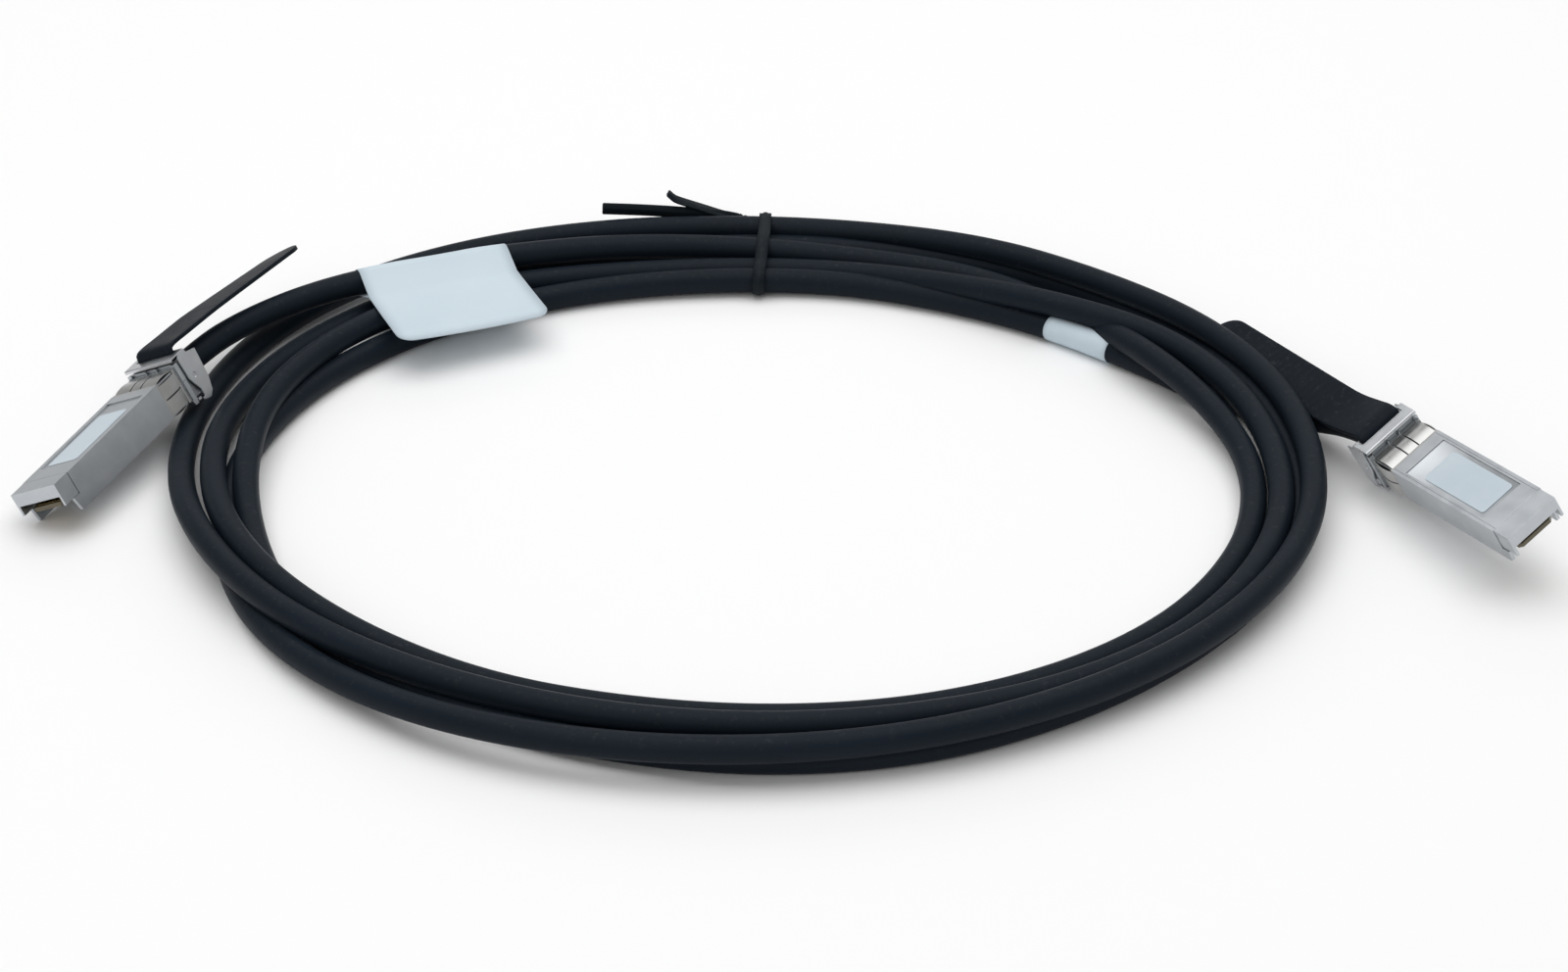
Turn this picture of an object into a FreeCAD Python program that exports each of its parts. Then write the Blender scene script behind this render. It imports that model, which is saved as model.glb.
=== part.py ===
import FreeCAD
import Part
import math
import os
import Sketcher

# Passive copper cable assembly, wound in a flat oval coil, with a small form-factor plug on
# each end. Millimetres, +Z up. The origin is the middle of the box around the two plugs,
# on the surface that the assembly lies on.
#
# Each plug is built in its own frame and then placed: X runs rearwards from the nose,
# Y is across, Z is up from the underside of the body.

Vector = FreeCAD.Vector

doc = FreeCAD.newDocument("direct_attach_cable")
sheet = doc.addObject("Spreadsheet::Sheet", "Sizes")

driving_sizes = {
    # plug body
    "body_width": 13.4,
    "body_height": 8.5,
    "side_wall": 0.8,
    "floor_wall": 0.9,
    "cover_wall": 1.0,
    "split_gap": 0.05,
    "hood_length": 4.8,
    "hood_width": 13.0,
    "hood_lip_depth": 3.0,
    "hood_lip_length": 0.9,
    "hood_skirt": 5.2,
    "seam_width": 0.25,
    "seam_depth": 0.15,
    "leg_front": 2.7,
    "leg_rake": 0.6,
    "leg_toe": 0.3,
    "mouth_length": 9.0,
    "edge_bevel": 0.35,
    # recess on the cover and the blank sticker in it
    "recess_front": 9.8,
    "recess_length": 26.4,
    "recess_depth": 0.25,
    "recess_rim": 0.5,
    "sticker_length": 20.4,
    "sticker_width": 8.7,
    "sticker_thickness": 0.1,
    "sticker_front_gap": 1.2,
    "sticker_corner": 0.9,
    # shielding collar round the body
    "collar_front": 39.6,
    "collar_length": 7.0,
    "collar_sheet": 0.2,
    "collar_band": 0.7,
    "collar_bulge": 0.45,
    "collar_seat": 0.3,
    "finger_slit": 0.35,
    "centre_finger": 2.8,
    # rear head
    "head_start": 47.0,
    "head_length": 7.4,
    "head_width": 13.0,
    "head_split": 4.7,
    "flange_length": 1.2,
    "flange_width": 14.0,
    "flange_rise": 0.6,
    "foot_drop": 1.2,
    "foot_reach": 2.0,
    "foot_ramp": 0.4,
    "window_depth": 0.6,
    "window_length": 0.6,
    # edge card
    "card_front": 1.3,
    "card_length": 25.7,
    "card_width": 11.2,
    "card_tongue_width": 9.2,
    "card_tongue_length": 7.2,
    "card_thickness": 1.0,
    "card_underside": 2.9,
    "card_bevel": 0.8,
    "card_step": 0.6,
    "rail_gap": 0.3,
    "pad_count": 10,
    "pad_pitch": 0.8,
    "pad_width": 0.6,
    "pad_length": 3.4,
    "pad_thickness": 0.05,
    "pad_setback": 0.9,
    "chip_front": 11.0,
    "chip_length": 4.0,
    "chip_width": 3.2,
    "chip_height": 1.0,
    "potting_length": 6.0,
    "potting_height": 2.4,
    "potting_setback": 2.0,
    "potting_slope": 1.0,
    "wire_radius": 0.6,
    "wire_pitch": 1.4,
    "wire_count": 4,
    "wire_lift": 0.05,
    # release bracket
    "bracket_sheet": 0.4,
    "bracket_play": 0.15,
    "bracket_top": 10.5,
    "bracket_top_length": 5.0,
    "bracket_lip": 0.4,
    "bracket_pivot_x": 51.2,
    "bracket_pivot_z": 4.1,
    "pivot_radius": 0.9,
    "pivot_reach": 0.35,
    "pivot_play": 0.06,
    "dimple_depth": 0.3,
    "slot_front": 50.0,
    "slot_length": 1.5,
    # locking lever under the body
    "lever_front": 36.0,
    "lever_sheet": 0.5,
    "lever_underside": 0.35,
    "lever_width": 5.0,
    "lever_play": 0.25,
    "lever_pivot_x": 53.2,
    "lever_pivot_z": 0.6,
    "lever_barrel": 0.6,
    "lever_pin_radius": 0.35,
    "lever_pin_play": 0.05,
    "catch_length": 3.2,
    "catch_drop": 0.95,
    "catch_width": 2.5,
    "wing_front": 48.5,
    "wing_length": 1.0,
    "wing_top": -0.45,
    "wing_underside": -1.0,
    "lever_channel": 1.4,
    "bridge_front": 41.0,
    "bridge_length": 3.0,
    "bridge_underside": 3.0,
    "bridge_wall": 0.6,
    "spring_sheet": 0.15,
    "spring_width": 2.4,
    # pull tab
    "tab_width": 10.4,
    "tab_thickness": 0.9,
    "tab_root_x": 50.75,
    "tab_rise": 12.4,
    "tab_bead": 0.9,
    "tab_bead_height": 0.8,
    "tab_bead_gap": 0.5,
    "tab_bend_x": 68.0,
    "tab_leaf_length": 37.6,
    "left_tab_bend_z": 11.1,
    "left_tab_droop": 7.0,
    "right_tab_bend_z": 8.4,
    "right_tab_droop": -3.0,
    "tab_travel": 1.2,
    "rib_count": 13,
    "rib_pitch": 2.1,
    "rib_width": 1.0,
    "rib_height": 0.2,
    "rib_start": 3.0,
    "rib_margin": 1.2,
    # cable, ferrule
    "cable_radius": 2.85,
    "cable_axis_z": 4.7,
    "ferrule_wall": 0.2,
    "ferrule_play": 0.05,
    "ferrule_front": 49.6,
    "ferrule_rear": 55.6,
    "ferrule_rim_radius": 3.5,
    "ferrule_rim_length": 0.8,
    # where the plugs lie
    "left_x": -150.64,
    "left_y": -34.95,
    "left_z": 2.75,
    "left_yaw": 65.8,
    "left_rise": 4.5,
    "left_roll": -26.8,
    "right_x": 156.23,
    "right_y": -58.06,
    "right_z": 11.63,
    "right_yaw": 117.5,
    "right_rise": -6.9,
    "right_roll": -29.3,
    # coil
    "coil_x": -5.7,
    "coil_y": -12.9,
    "coil_half_length": 122.9,
    "coil_half_width": 110.4,
    "coil_height": 9.8,
    "coil_bevel": 2.6,
    "coil_relief": 0.6,
    "eye_half_length": 102.0,
    "eye_half_width": 86.3,
    "eye_shift": -3.4,
    # tie
    "tie_x": -2.7,
    "tie_width": 2.4,
    "tie_thickness": 0.8,
    "tie_play": 0.1,
    "tie_long_tail": 39.0,
    "tie_long_rise": 1.4,
    "tie_short_tail": 21.5,
    "tie_short_rise": 7.0,
    "tie_heading": 183.0,
    # flag labels
    "flag_length": 30.0,
    "flag_width": 28.0,
    "flag_shown": 12.0,
    "flag_sheet": 0.3,
    "flag_wrap_radius": 3.1,
    "flag_corner": 3.0,
    "left_flag_x": -65.5,
    "left_flag_y": 71.4,
    "left_flag_z": 10.5,
    "left_flag_heading": 202.0,
    "left_flag_dip": 2.0,
    "right_flag_x": 84.95,
    "right_flag_y": 22.1,
    "right_flag_z": 4.0,
    "right_flag_heading": 129.7,
    "right_flag_dip": 16.0,
    # straight stretch of cable behind each plug
    "left_straight": 14.0,
    "right_straight": 13.0,
}

for row, (alias, size) in enumerate(driving_sizes.items(), start=1):
    sheet.set("A%d" % row, alias)
    sheet.set("B%d" % row, str(size))
    sheet.setAlias("B%d" % row, alias)
doc.recompute()


# A size with both its value and the expression that ties it to the sheet.
class Size:
    def __init__(self, value, text):
        self.value = value
        self.text = text

    def __add__(self, other):
        other = as_size(other)
        return Size(self.value + other.value, "(%s + %s)" % (self.text, other.text))

    def __sub__(self, other):
        other = as_size(other)
        return Size(self.value - other.value, "(%s - %s)" % (self.text, other.text))

    def __mul__(self, other):
        other = as_size(other)
        return Size(self.value * other.value, "(%s * %s)" % (self.text, other.text))

    def __truediv__(self, other):
        other = as_size(other)
        return Size(self.value / other.value, "(%s / %s)" % (self.text, other.text))

    def __neg__(self):
        return Size(-self.value, "(-1 * %s)" % self.text)

    def __radd__(self, other):
        return as_size(other) + self

    def __rsub__(self, other):
        return as_size(other) - self

    def __rmul__(self, other):
        return as_size(other) * self


def as_size(number):
    if isinstance(number, Size):
        return number
    return Size(float(number), repr(float(number)))


def size(alias):
    return Size(float(sheet.get(alias)), "Sizes." + alias)


# ---------------------------------------------------------------- building helpers

def bind(thing, prop, amount):
    thing.setExpression(prop, as_size(amount).text)


def box(name, low, high):
    block = doc.addObject("Part::Box", name)
    for prop, start, end in zip(("Length", "Width", "Height"), low, high):
        bind(block, prop, as_size(end) - start)
    for axis, start in zip("xyz", low):
        bind(block, "Placement.Base." + axis, start)
    return block


def rod(name, radius, length, base, axis):
    turns = {"x": Vector(0, 1, 0), "y": Vector(-1, 0, 0)}
    cylinder = doc.addObject("Part::Cylinder", name)
    if axis in turns:
        cylinder.Placement.Rotation = FreeCAD.Rotation(turns[axis], 90)
    bind(cylinder, "Radius", radius)
    bind(cylinder, "Height", length)
    for letter, start in zip("xyz", base):
        bind(cylinder, "Placement.Base." + letter, start)
    return cylinder


def cut(name, base, tool):
    result = doc.addObject("Part::Cut", name)
    result.Base = base
    result.Tool = tool
    return result


def fuse(name, shapes):
    result = doc.addObject("Part::MultiFuse", name)
    result.Shapes = shapes
    result.Refine = True
    return result


def new_body(name):
    return doc.addObject("PartDesign::Body", name)


def base_plane(body, role):
    for feature in body.Origin.OriginFeatures:
        if feature.Role == role:
            return feature


# A closed outline in a base plane. Each corner is a pair of sizes. A third entry in a corner
# is the radius of the arc that runs from it to the next corner, bulging to its right.
def outline(body, name, role, corners, offset=None):
    sketch = body.newObject("Sketcher::SketchObject", name)
    sketch.AttachmentSupport = [(base_plane(body, role), "")]
    sketch.MapMode = "FlatFace"
    if offset is not None:
        bind(sketch, "AttachmentOffset.Base.z", offset)
    places = [(as_size(corner[0]), as_size(corner[1])) for corner in corners]
    points = [Vector(across.value, up.value, 0) for across, up in places]
    count = len(points)
    joints = []
    for index, start in enumerate(points):
        end = points[(index + 1) % count]
        if len(corners[index]) == 3:
            chord = end - start
            radius = as_size(corners[index][2]).value
            depth = radius - math.sqrt(max(radius ** 2 - chord.Length ** 2 / 4, 0))
            side = Vector(chord.y, -chord.x, 0).normalize()
            middle = (start + end) / 2 + side * depth
            sketch.addGeometry(Part.Arc(start, middle, end))
        else:
            sketch.addGeometry(Part.LineSegment(start, end))
        joints.append((1, 2))
    for index in range(count):
        following = (index + 1) % count
        sketch.addConstraint(
            Sketcher.Constraint("Coincident", index, joints[index][1], following, joints[following][0])
        )
    for index, (across, up) in enumerate(places):
        for kind, amount in (("DistanceX", across), ("DistanceY", up)):
            number = sketch.addConstraint(
                Sketcher.Constraint(kind, -1, 1, index, joints[index][0], amount.value)
            )
            bind(sketch, "Constraints[%d]" % number, amount)
        if len(corners[index]) == 3:
            radius = as_size(corners[index][2])
            number = sketch.addConstraint(Sketcher.Constraint("Radius", index, radius.value))
            bind(sketch, "Constraints[%d]" % number, radius)
    return sketch


def circle(body, name, role, across, up, radius, offset=None):
    sketch = body.newObject("Sketcher::SketchObject", name)
    sketch.AttachmentSupport = [(base_plane(body, role), "")]
    sketch.MapMode = "FlatFace"
    if offset is not None:
        bind(sketch, "AttachmentOffset.Base.z", offset)
    centre = Vector(as_size(across).value, as_size(up).value, 0)
    sketch.addGeometry(Part.Circle(centre, Vector(0, 0, 1), as_size(radius).value))
    for kind, amount in (("DistanceX", as_size(across)), ("DistanceY", as_size(up))):
        number = sketch.addConstraint(Sketcher.Constraint(kind, -1, 1, 0, 3, amount.value))
        bind(sketch, "Constraints[%d]" % number, amount)
    number = sketch.addConstraint(Sketcher.Constraint("Radius", 0, as_size(radius).value))
    bind(sketch, "Constraints[%d]" % number, radius)
    return sketch


def extrude(kind, body, sketch, length, both_ways, reverse):
    feature = body.newObject("PartDesign::" + kind, sketch.Name + "_" + kind.lower())
    feature.Profile = sketch
    bind(feature, "Length", length)
    feature.SideType = "Symmetric" if both_ways else "One side"
    feature.Reversed = reverse
    body.Tip = feature
    return feature


def pad(body, sketch, length, both_ways=True, reverse=False):
    return extrude("Pad", body, sketch, length, both_ways, reverse)


def pocket(body, sketch, length, both_ways=True, reverse=False):
    return extrude("Pocket", body, sketch, length, both_ways, reverse)


def rectangle(left, right, low, high):
    return [(left, low), (right, low), (right, high), (left, high)]


def bevel(body, name, test, amount):
    base = body.Tip
    doc.recompute()
    edges = ["Edge%d" % (i + 1) for i, edge in enumerate(base.Shape.Edges) if test(edge)]
    chamfer = body.newObject("PartDesign::Chamfer", name)
    chamfer.Base = (base, edges)
    bind(chamfer, "Size", amount)
    body.Tip = chamfer
    return chamfer


def group(name, shapes):
    result = doc.addObject("Part::Compound", name)
    result.Links = shapes
    return result


finished = []


def finish(thing, label, placement=None):
    thing.Label = label
    if placement is not None:
        thing.Placement = placement
    finished.append(thing)
    return thing


# ---------------------------------------------------------------- sizes used by several pieces

half_body = size("body_width") / 2
inner_half = half_body - size("side_wall")
body_top = size("body_height")
collar_end = size("collar_front") + size("collar_length")
head_rear = size("head_start") + size("head_length")
flange_rear = size("head_start") + size("flange_length")
head_half = size("head_width") / 2
bore_radius = size("cable_radius") + size("ferrule_play") + size("ferrule_wall")
card_top = size("card_underside") + size("card_thickness")
channel_half = size("lever_width") / 2 + size("lever_play")
bracket_inner = head_half + size("bracket_play")
bracket_outer = bracket_inner + size("bracket_sheet")
seat_start = size("collar_front") - size("split_gap")
seat_end = collar_end + size("split_gap")


# ---------------------------------------------------------------- die-cast shells

# A blind hole in each side of the head, where the release bracket turns.
def pivot_holes(body, name):
    radius = size("pivot_radius") + size("pivot_play")
    floor = bracket_inner - size("pivot_reach") - size("pivot_play")
    for number, reverse in enumerate((False, True)):
        offset = floor if reverse else -floor
        hole = circle(body, "%s_pivot_hole_%d" % (name, number), "XZ_Plane",
                      size("bracket_pivot_x"), size("bracket_pivot_z"), radius, offset)
        pocket(body, hole, size("side_wall") * 2, both_ways=False, reverse=reverse)


def top_shell(side, placement):
    body = new_body(side + "_top")
    cover_half = inner_half - size("split_gap")
    cover_low = body_top - size("cover_wall")
    head_low = size("head_split") + size("split_gap")
    skirt_low = body_top - size("hood_skirt")

    cover = outline(body, side + "_cover", "XZ_Plane",
                    rectangle(0, head_rear, cover_low, body_top))
    pad(body, cover, cover_half * 2)
    hood = outline(body, side + "_hood", "XZ_Plane",
                   rectangle(0, size("hood_length"), skirt_low, body_top))
    pad(body, hood, size("hood_width"))
    neck = outline(body, side + "_neck_cap", "XZ_Plane",
                   rectangle(size("head_start"), head_rear, head_low, body_top))
    pad(body, neck, size("head_width"))
    flange_high = body_top + size("flange_rise")
    flange = outline(body, side + "_flange_cap", "XZ_Plane",
                     rectangle(size("head_start"), flange_rear, head_low, flange_high))
    pad(body, flange, size("flange_width"))

    # The mouth under the hood: a low front lip, then a taller space behind it.
    mouth_high = body_top - size("hood_lip_depth")
    mouth = outline(body, side + "_mouth", "XZ_Plane",
                    rectangle(-1, size("hood_length") + 1, skirt_low - 1, mouth_high))
    pocket(body, mouth, inner_half * 2)
    throat = outline(body, side + "_throat", "XZ_Plane",
                     rectangle(size("hood_lip_length"), size("hood_length") + 1,
                               mouth_high - 1, cover_low))
    pocket(body, throat, inner_half * 2)

    # Clamped cable ferrule, and room for the wires in front of it.
    bore = circle(body, side + "_top_bore", "YZ_Plane", 0, size("cable_axis_z"),
                  bore_radius, size("head_start") - 1)
    pocket(body, bore, size("head_length") + 2, both_ways=False, reverse=True)

    # Recess for the sticker, and the seat of the shielding collar.
    recess_half = cover_half - size("recess_rim")
    recess_rear = size("recess_front") + size("recess_length")
    recess = outline(body, side + "_recess", "XY_Plane",
                     rectangle(size("recess_front"), recess_rear, -recess_half, recess_half),
                     body_top - size("recess_depth"))
    pocket(body, recess, size("recess_depth") + 1, both_ways=False, reverse=True)
    seat = outline(body, side + "_collar_seat", "XZ_Plane",
                   rectangle(seat_start, seat_end, body_top - size("collar_seat"), body_top + 1))
    pocket(body, seat, size("body_width") + 2)

    # A fine seam behind the hood, and three windows in the top of the flange.
    seam = outline(body, side + "_seam", "XZ_Plane",
                   [(size("hood_length"), body_top + 0.1),
                    (size("hood_length"), body_top - size("seam_depth")),
                    (size("hood_length") + size("seam_width"), body_top + 0.1)])
    pocket(body, seam, size("body_width") + 2)
    finger_edge = size("centre_finger") / 2
    window_low = flange_high - size("window_depth")
    window_rear = size("head_start") + size("window_length")
    window_spans = (
        (-inner_half, -finger_edge - size("finger_slit")),
        (-finger_edge, finger_edge),
        (finger_edge + size("finger_slit"), inner_half),
    )
    for number, (low, high) in enumerate(window_spans):
        window = outline(body, "%s_window_%d" % (side, number), "XY_Plane",
                         rectangle(size("head_start") - 1, window_rear, low, high), window_low)
        pocket(body, window, size("window_depth") + 1, both_ways=False, reverse=True)

    pivot_holes(body, side + "_high")
    head_length = size("head_length").value - size("flange_length").value

    def neck_edge(edge):
        high = abs(edge.BoundBox.ZMin - body_top.value) < 1e-4 and edge.BoundBox.ZLength < 1e-4
        outer = abs(abs(edge.BoundBox.YMin) - head_half.value) < 1e-4
        return high and outer and abs(edge.BoundBox.XLength - head_length) < 1e-4

    bevel(body, side + "_neck_bevel", neck_edge, size("edge_bevel"))
    return finish(body, side + "_top_shell", placement)


def bottom_shell(side, placement):
    body = new_body(side + "_bottom")
    low_skirt = body_top - size("hood_skirt") - size("split_gap")
    wall_start = size("hood_length") + size("split_gap")
    leg_foot = size("leg_front") + size("leg_rake")
    walls = outline(body, side + "_walls", "XZ_Plane",
                    [(size("leg_front"), low_skirt), (leg_foot, size("leg_toe")), (leg_foot + size("leg_toe"), 0),
                     (size("head_start"), 0), (size("head_start"), body_top),
                     (wall_start, body_top), (wall_start, low_skirt)])
    pad(body, walls, size("body_width"))
    trough = outline(body, side + "_trough", "XZ_Plane",
                     rectangle(0, size("head_start") + 1, size("floor_wall"), body_top + 1))
    pocket(body, trough, inner_half * 2)
    mouth = outline(body, side + "_mouth_floor", "XZ_Plane",
                    rectangle(0, size("mouth_length"), -1, size("floor_wall") + 1))
    pocket(body, mouth, inner_half * 2)

    # The seat of the shielding collar, on the sides and underneath.
    collar_half = half_body - size("collar_seat")
    for number, direction in enumerate((1, -1)):
        side_seat = outline(body, "%s_side_seat_%d" % (side, number), "XY_Plane",
                            rectangle(seat_start, seat_end, direction * collar_half,
                                      direction * (half_body + 1)), -1)
        pocket(body, side_seat, body_top + 2, both_ways=False, reverse=True)
    low_seat = outline(body, side + "_low_seat", "XZ_Plane",
                       rectangle(seat_start, seat_end, -1, size("collar_seat")))
    pocket(body, low_seat, size("body_width") + 2)
    wall_seat = outline(body, side + "_wall_seat", "XZ_Plane",
                        rectangle(seat_start, seat_end, body_top - size("collar_seat"),
                                  body_top + 1))
    pocket(body, wall_seat, size("body_width") + 2)

    # Lower half of the head, with the flange and its ramped foot.
    neck = outline(body, side + "_neck", "XZ_Plane",
                   rectangle(size("head_start"), head_rear, 0, size("head_split")))
    pad(body, neck, size("head_width"))
    flange = outline(body, side + "_flange", "XZ_Plane",
                     [(size("head_start") - size("foot_ramp"), 0),
                      (size("head_start"), -size("foot_drop")),
                      (flange_rear, -size("foot_drop")),
                      (flange_rear, size("head_split")),
                      (size("head_start"), size("head_split")), (size("head_start"), 0)])
    pad(body, flange, size("flange_width"))
    bore = circle(body, side + "_low_bore", "YZ_Plane", 0, size("cable_axis_z"),
                  bore_radius, size("head_start") - 1)
    pocket(body, bore, size("head_length") + 2, both_ways=False, reverse=True)

    # Rails under the card, and the bridge that the lever's spring pushes against.
    rail_inner = size("card_tongue_width") / 2 + size("rail_gap")
    for number, direction in enumerate((1, -1)):
        rail = outline(body, "%s_rail_%d" % (side, number), "XY_Plane",
                       rectangle(size("mouth_length"), size("card_front") + size("card_length"),
                                 direction * rail_inner, direction * (inner_half + 0.1)),
                       size("floor_wall") - 0.1)
        pad(body, rail, size("card_underside") - size("floor_wall") + 0.1, both_ways=False)
    bridge_high = size("bridge_underside") + size("bridge_wall")
    bridge = outline(body, side + "_bridge", "XZ_Plane",
                     rectangle(size("bridge_front"), size("bridge_front") + size("bridge_length"),
                               size("bridge_underside"), bridge_high))
    pad(body, bridge, inner_half * 2 + 0.2)

    # Channel for the locking lever, the pin across it and the bracket's pivot holes.
    channel = outline(body, side + "_channel", "XZ_Plane",
                      rectangle(size("lever_front") - 0.5, head_rear + 1, -2,
                                size("lever_channel")))
    pocket(body, channel, channel_half * 2)
    pin_hole = circle(body, side + "_pin_hole", "XZ_Plane", size("lever_pivot_x"),
                      size("lever_pivot_z"), size("lever_pin_radius"))
    pocket(body, pin_hole, size("head_width") + 2)
    pivot_holes(body, side + "_low")
    return finish(body, side + "_bottom_shell", placement)


# ---------------------------------------------------------------- card, wires and sticker

def edge_card(side, placement):
    body = new_body(side + "_card")
    front = size("card_front")
    rear = front + size("card_length")
    tongue = size("card_tongue_width") / 2
    wide = size("card_width") / 2
    step = front + size("card_tongue_length") + size("card_step")
    nose = size("card_bevel")
    board = outline(body, side + "_board", "XY_Plane",
                    [(front, -tongue + nose), (front + nose, -tongue), (step, -tongue),
                     (step, -wide), (rear, -wide), (rear, wide), (step, wide), (step, tongue),
                     (front + nose, tongue), (front, tongue - nose)], size("card_underside"))
    pad(body, board, size("card_thickness"), both_ways=False)
    return finish(body, side + "_paddle_card", placement)


def contact_pads(side, placement):
    count = int(size("pad_count").value)
    start = size("card_front") + size("pad_setback")
    pads = []
    for row, low in enumerate((card_top, size("card_underside") - size("pad_thickness"))):
        for number in range(count):
            across = size("pad_pitch") * (number - (count - 1) / 2) - size("pad_width") / 2
            pads.append(box("%s_pad_%d_%d" % (side, row, number), (start, across, low),
                            (start + size("pad_length"), across + size("pad_width"),
                             low + size("pad_thickness"))))
    return finish(group(side + "_pads", pads), side + "_contact_pads", placement)


def memory_chip(side, placement):
    half = size("chip_width") / 2
    front = size("chip_front")
    chip = box(side + "_chip", (front, -half, card_top),
               (front + size("chip_length"), half, card_top + size("chip_height")))
    return finish(group(side + "_chip_on_card", [chip]), side + "_memory_chip", placement)


potting_rear = size("card_front") + size("card_length") - size("potting_setback")


def wire_potting(side, placement):
    body = new_body(side + "_potting_body")
    front = potting_rear - size("potting_length")
    high = card_top + size("potting_height")
    slope = size("potting_slope")
    lump = outline(body, side + "_lump", "XZ_Plane",
                   [(front, card_top), (potting_rear, card_top), (potting_rear, high),
                    (front + slope, high), (front, high - slope)])
    pad(body, lump, size("card_tongue_width"))
    return finish(body, side + "_wire_potting", placement)


def twin_wires(side, placement):
    cable_start = size("ferrule_front")
    count = int(size("wire_count").value)
    lift = size("wire_radius") + size("wire_lift")
    wires = []
    for number in range(count):
        across = size("wire_pitch") * (number - (count - 1) / 2)
        wires.append(rod("%s_wire_%d" % (side, number), size("wire_radius"),
                         cable_start - potting_rear,
                         (potting_rear, across, card_top + lift), "x"))
    return finish(group(side + "_wires", wires), side + "_twin_axial_wires", placement)


def sticker(side, placement):
    body = new_body(side + "_sticker_body")
    front = size("recess_front") + size("sticker_front_gap")
    rear = front + size("sticker_length")
    half = size("sticker_width") / 2
    round_off = size("sticker_corner")
    shape = outline(body, side + "_sticker_outline", "XY_Plane",
                    [(front + round_off, -half), (rear - round_off, -half, round_off),
                     (rear, -half + round_off), (rear, half - round_off, round_off),
                     (rear - round_off, half), (front + round_off, half, round_off),
                     (front, half - round_off), (front, -half + round_off, round_off)],
                    body_top - size("recess_depth"))
    pad(body, shape, size("sticker_thickness"), both_ways=False)
    return finish(body, side + "_blank_sticker", placement)


# ---------------------------------------------------------------- shielding collar

def shielding_collar(side, placement):
    sheet_wall = size("collar_sheet")
    half_wide = half_body - size("collar_seat") + 0.02
    low = size("collar_seat") - 0.02
    high = body_top - size("collar_seat") + 0.02
    front = size("collar_front")
    bands = []
    for number, start in enumerate((front, collar_end - size("collar_band"))):
        end = start + size("collar_band")
        outer = box("%s_band_outer_%d" % (side, number),
                    (start, -half_wide - sheet_wall, low - sheet_wall),
                    (end, half_wide + sheet_wall, high + sheet_wall))
        inner = box("%s_band_inner_%d" % (side, number),
                    (start - 1, -half_wide, low), (end + 1, half_wide, high))
        bands.append(cut("%s_band_%d" % (side, number), outer, inner))

    # A spring finger is an arched strip from band to band. Its arch stands out by the bulge.
    span = size("collar_length").value - 2 * size("collar_band").value + 0.2
    rise = size("collar_bulge").value
    wall = sheet_wall.value
    radius = (span ** 2 / 4 + rise ** 2) / (2 * rise)
    start_x = front.value + size("collar_band").value - 0.1

    def arch(width):
        centre = Vector(start_x + span / 2, 0, rise - radius)
        lean = math.asin(span / 2 / radius)
        edges = []
        for curve_radius in (radius, radius + wall):
            points = []
            for turn in (-lean, 0, lean):
                points.append(centre + Vector(math.sin(turn), 0, math.cos(turn)) * curve_radius)
            edges.append(Part.Arc(*points).toShape())
        ends = [[edge.valueAt(edge.FirstParameter), edge.valueAt(edge.LastParameter)]
                for edge in edges]
        first = Part.makeLine(ends[0][0], ends[1][0])
        last = Part.makeLine(ends[0][1], ends[1][1])
        face = Part.Face(Part.Wire([edges[0], last, edges[1], first]))
        face.translate(Vector(0, -width / 2, 0))
        return face.extrude(Vector(0, width, 0))

    slit = size("finger_slit").value
    half = half_wide.value
    tall = high.value - low.value
    middle = size("centre_finger").value
    outer_width = half - middle / 2 - slit - 0.3
    outer_place = middle / 2 + slit + outer_width / 2
    side_width = (tall - slit) / 2 - 0.5
    fingers = []
    for across, width in ((0, middle), (outer_place, outer_width), (-outer_place, outer_width)):
        finger = arch(width)
        finger.translate(Vector(0, across, high.value))
        fingers.append(finger)
    for facing, reach in ((-90, half), (90, half)):
        for direction in (1, -1):
            finger = arch(side_width)
            finger.rotate(Vector(0, 0, 0), Vector(1, 0, 0), facing)
            shift = math.copysign(reach, -facing)
            place = low.value + tall / 2 + direction * (side_width + slit) / 2
            finger.translate(Vector(0, shift, place))
            fingers.append(finger)
    for direction in (1, -1):
        finger = arch(outer_width)
        finger.rotate(Vector(0, 0, 0), Vector(1, 0, 0), 180)
        finger.translate(Vector(0, direction * outer_place, low.value))
        fingers.append(finger)
    holders = []
    for number, finger in enumerate(fingers):
        holder = doc.addObject("Part::Feature", "%s_finger_%d" % (side, number))
        holder.Shape = finger
        holders.append(holder)
    return finish(fuse(side + "_collar", bands + holders), side + "_shielding_collar", placement)


# ---------------------------------------------------------------- latch

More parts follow.
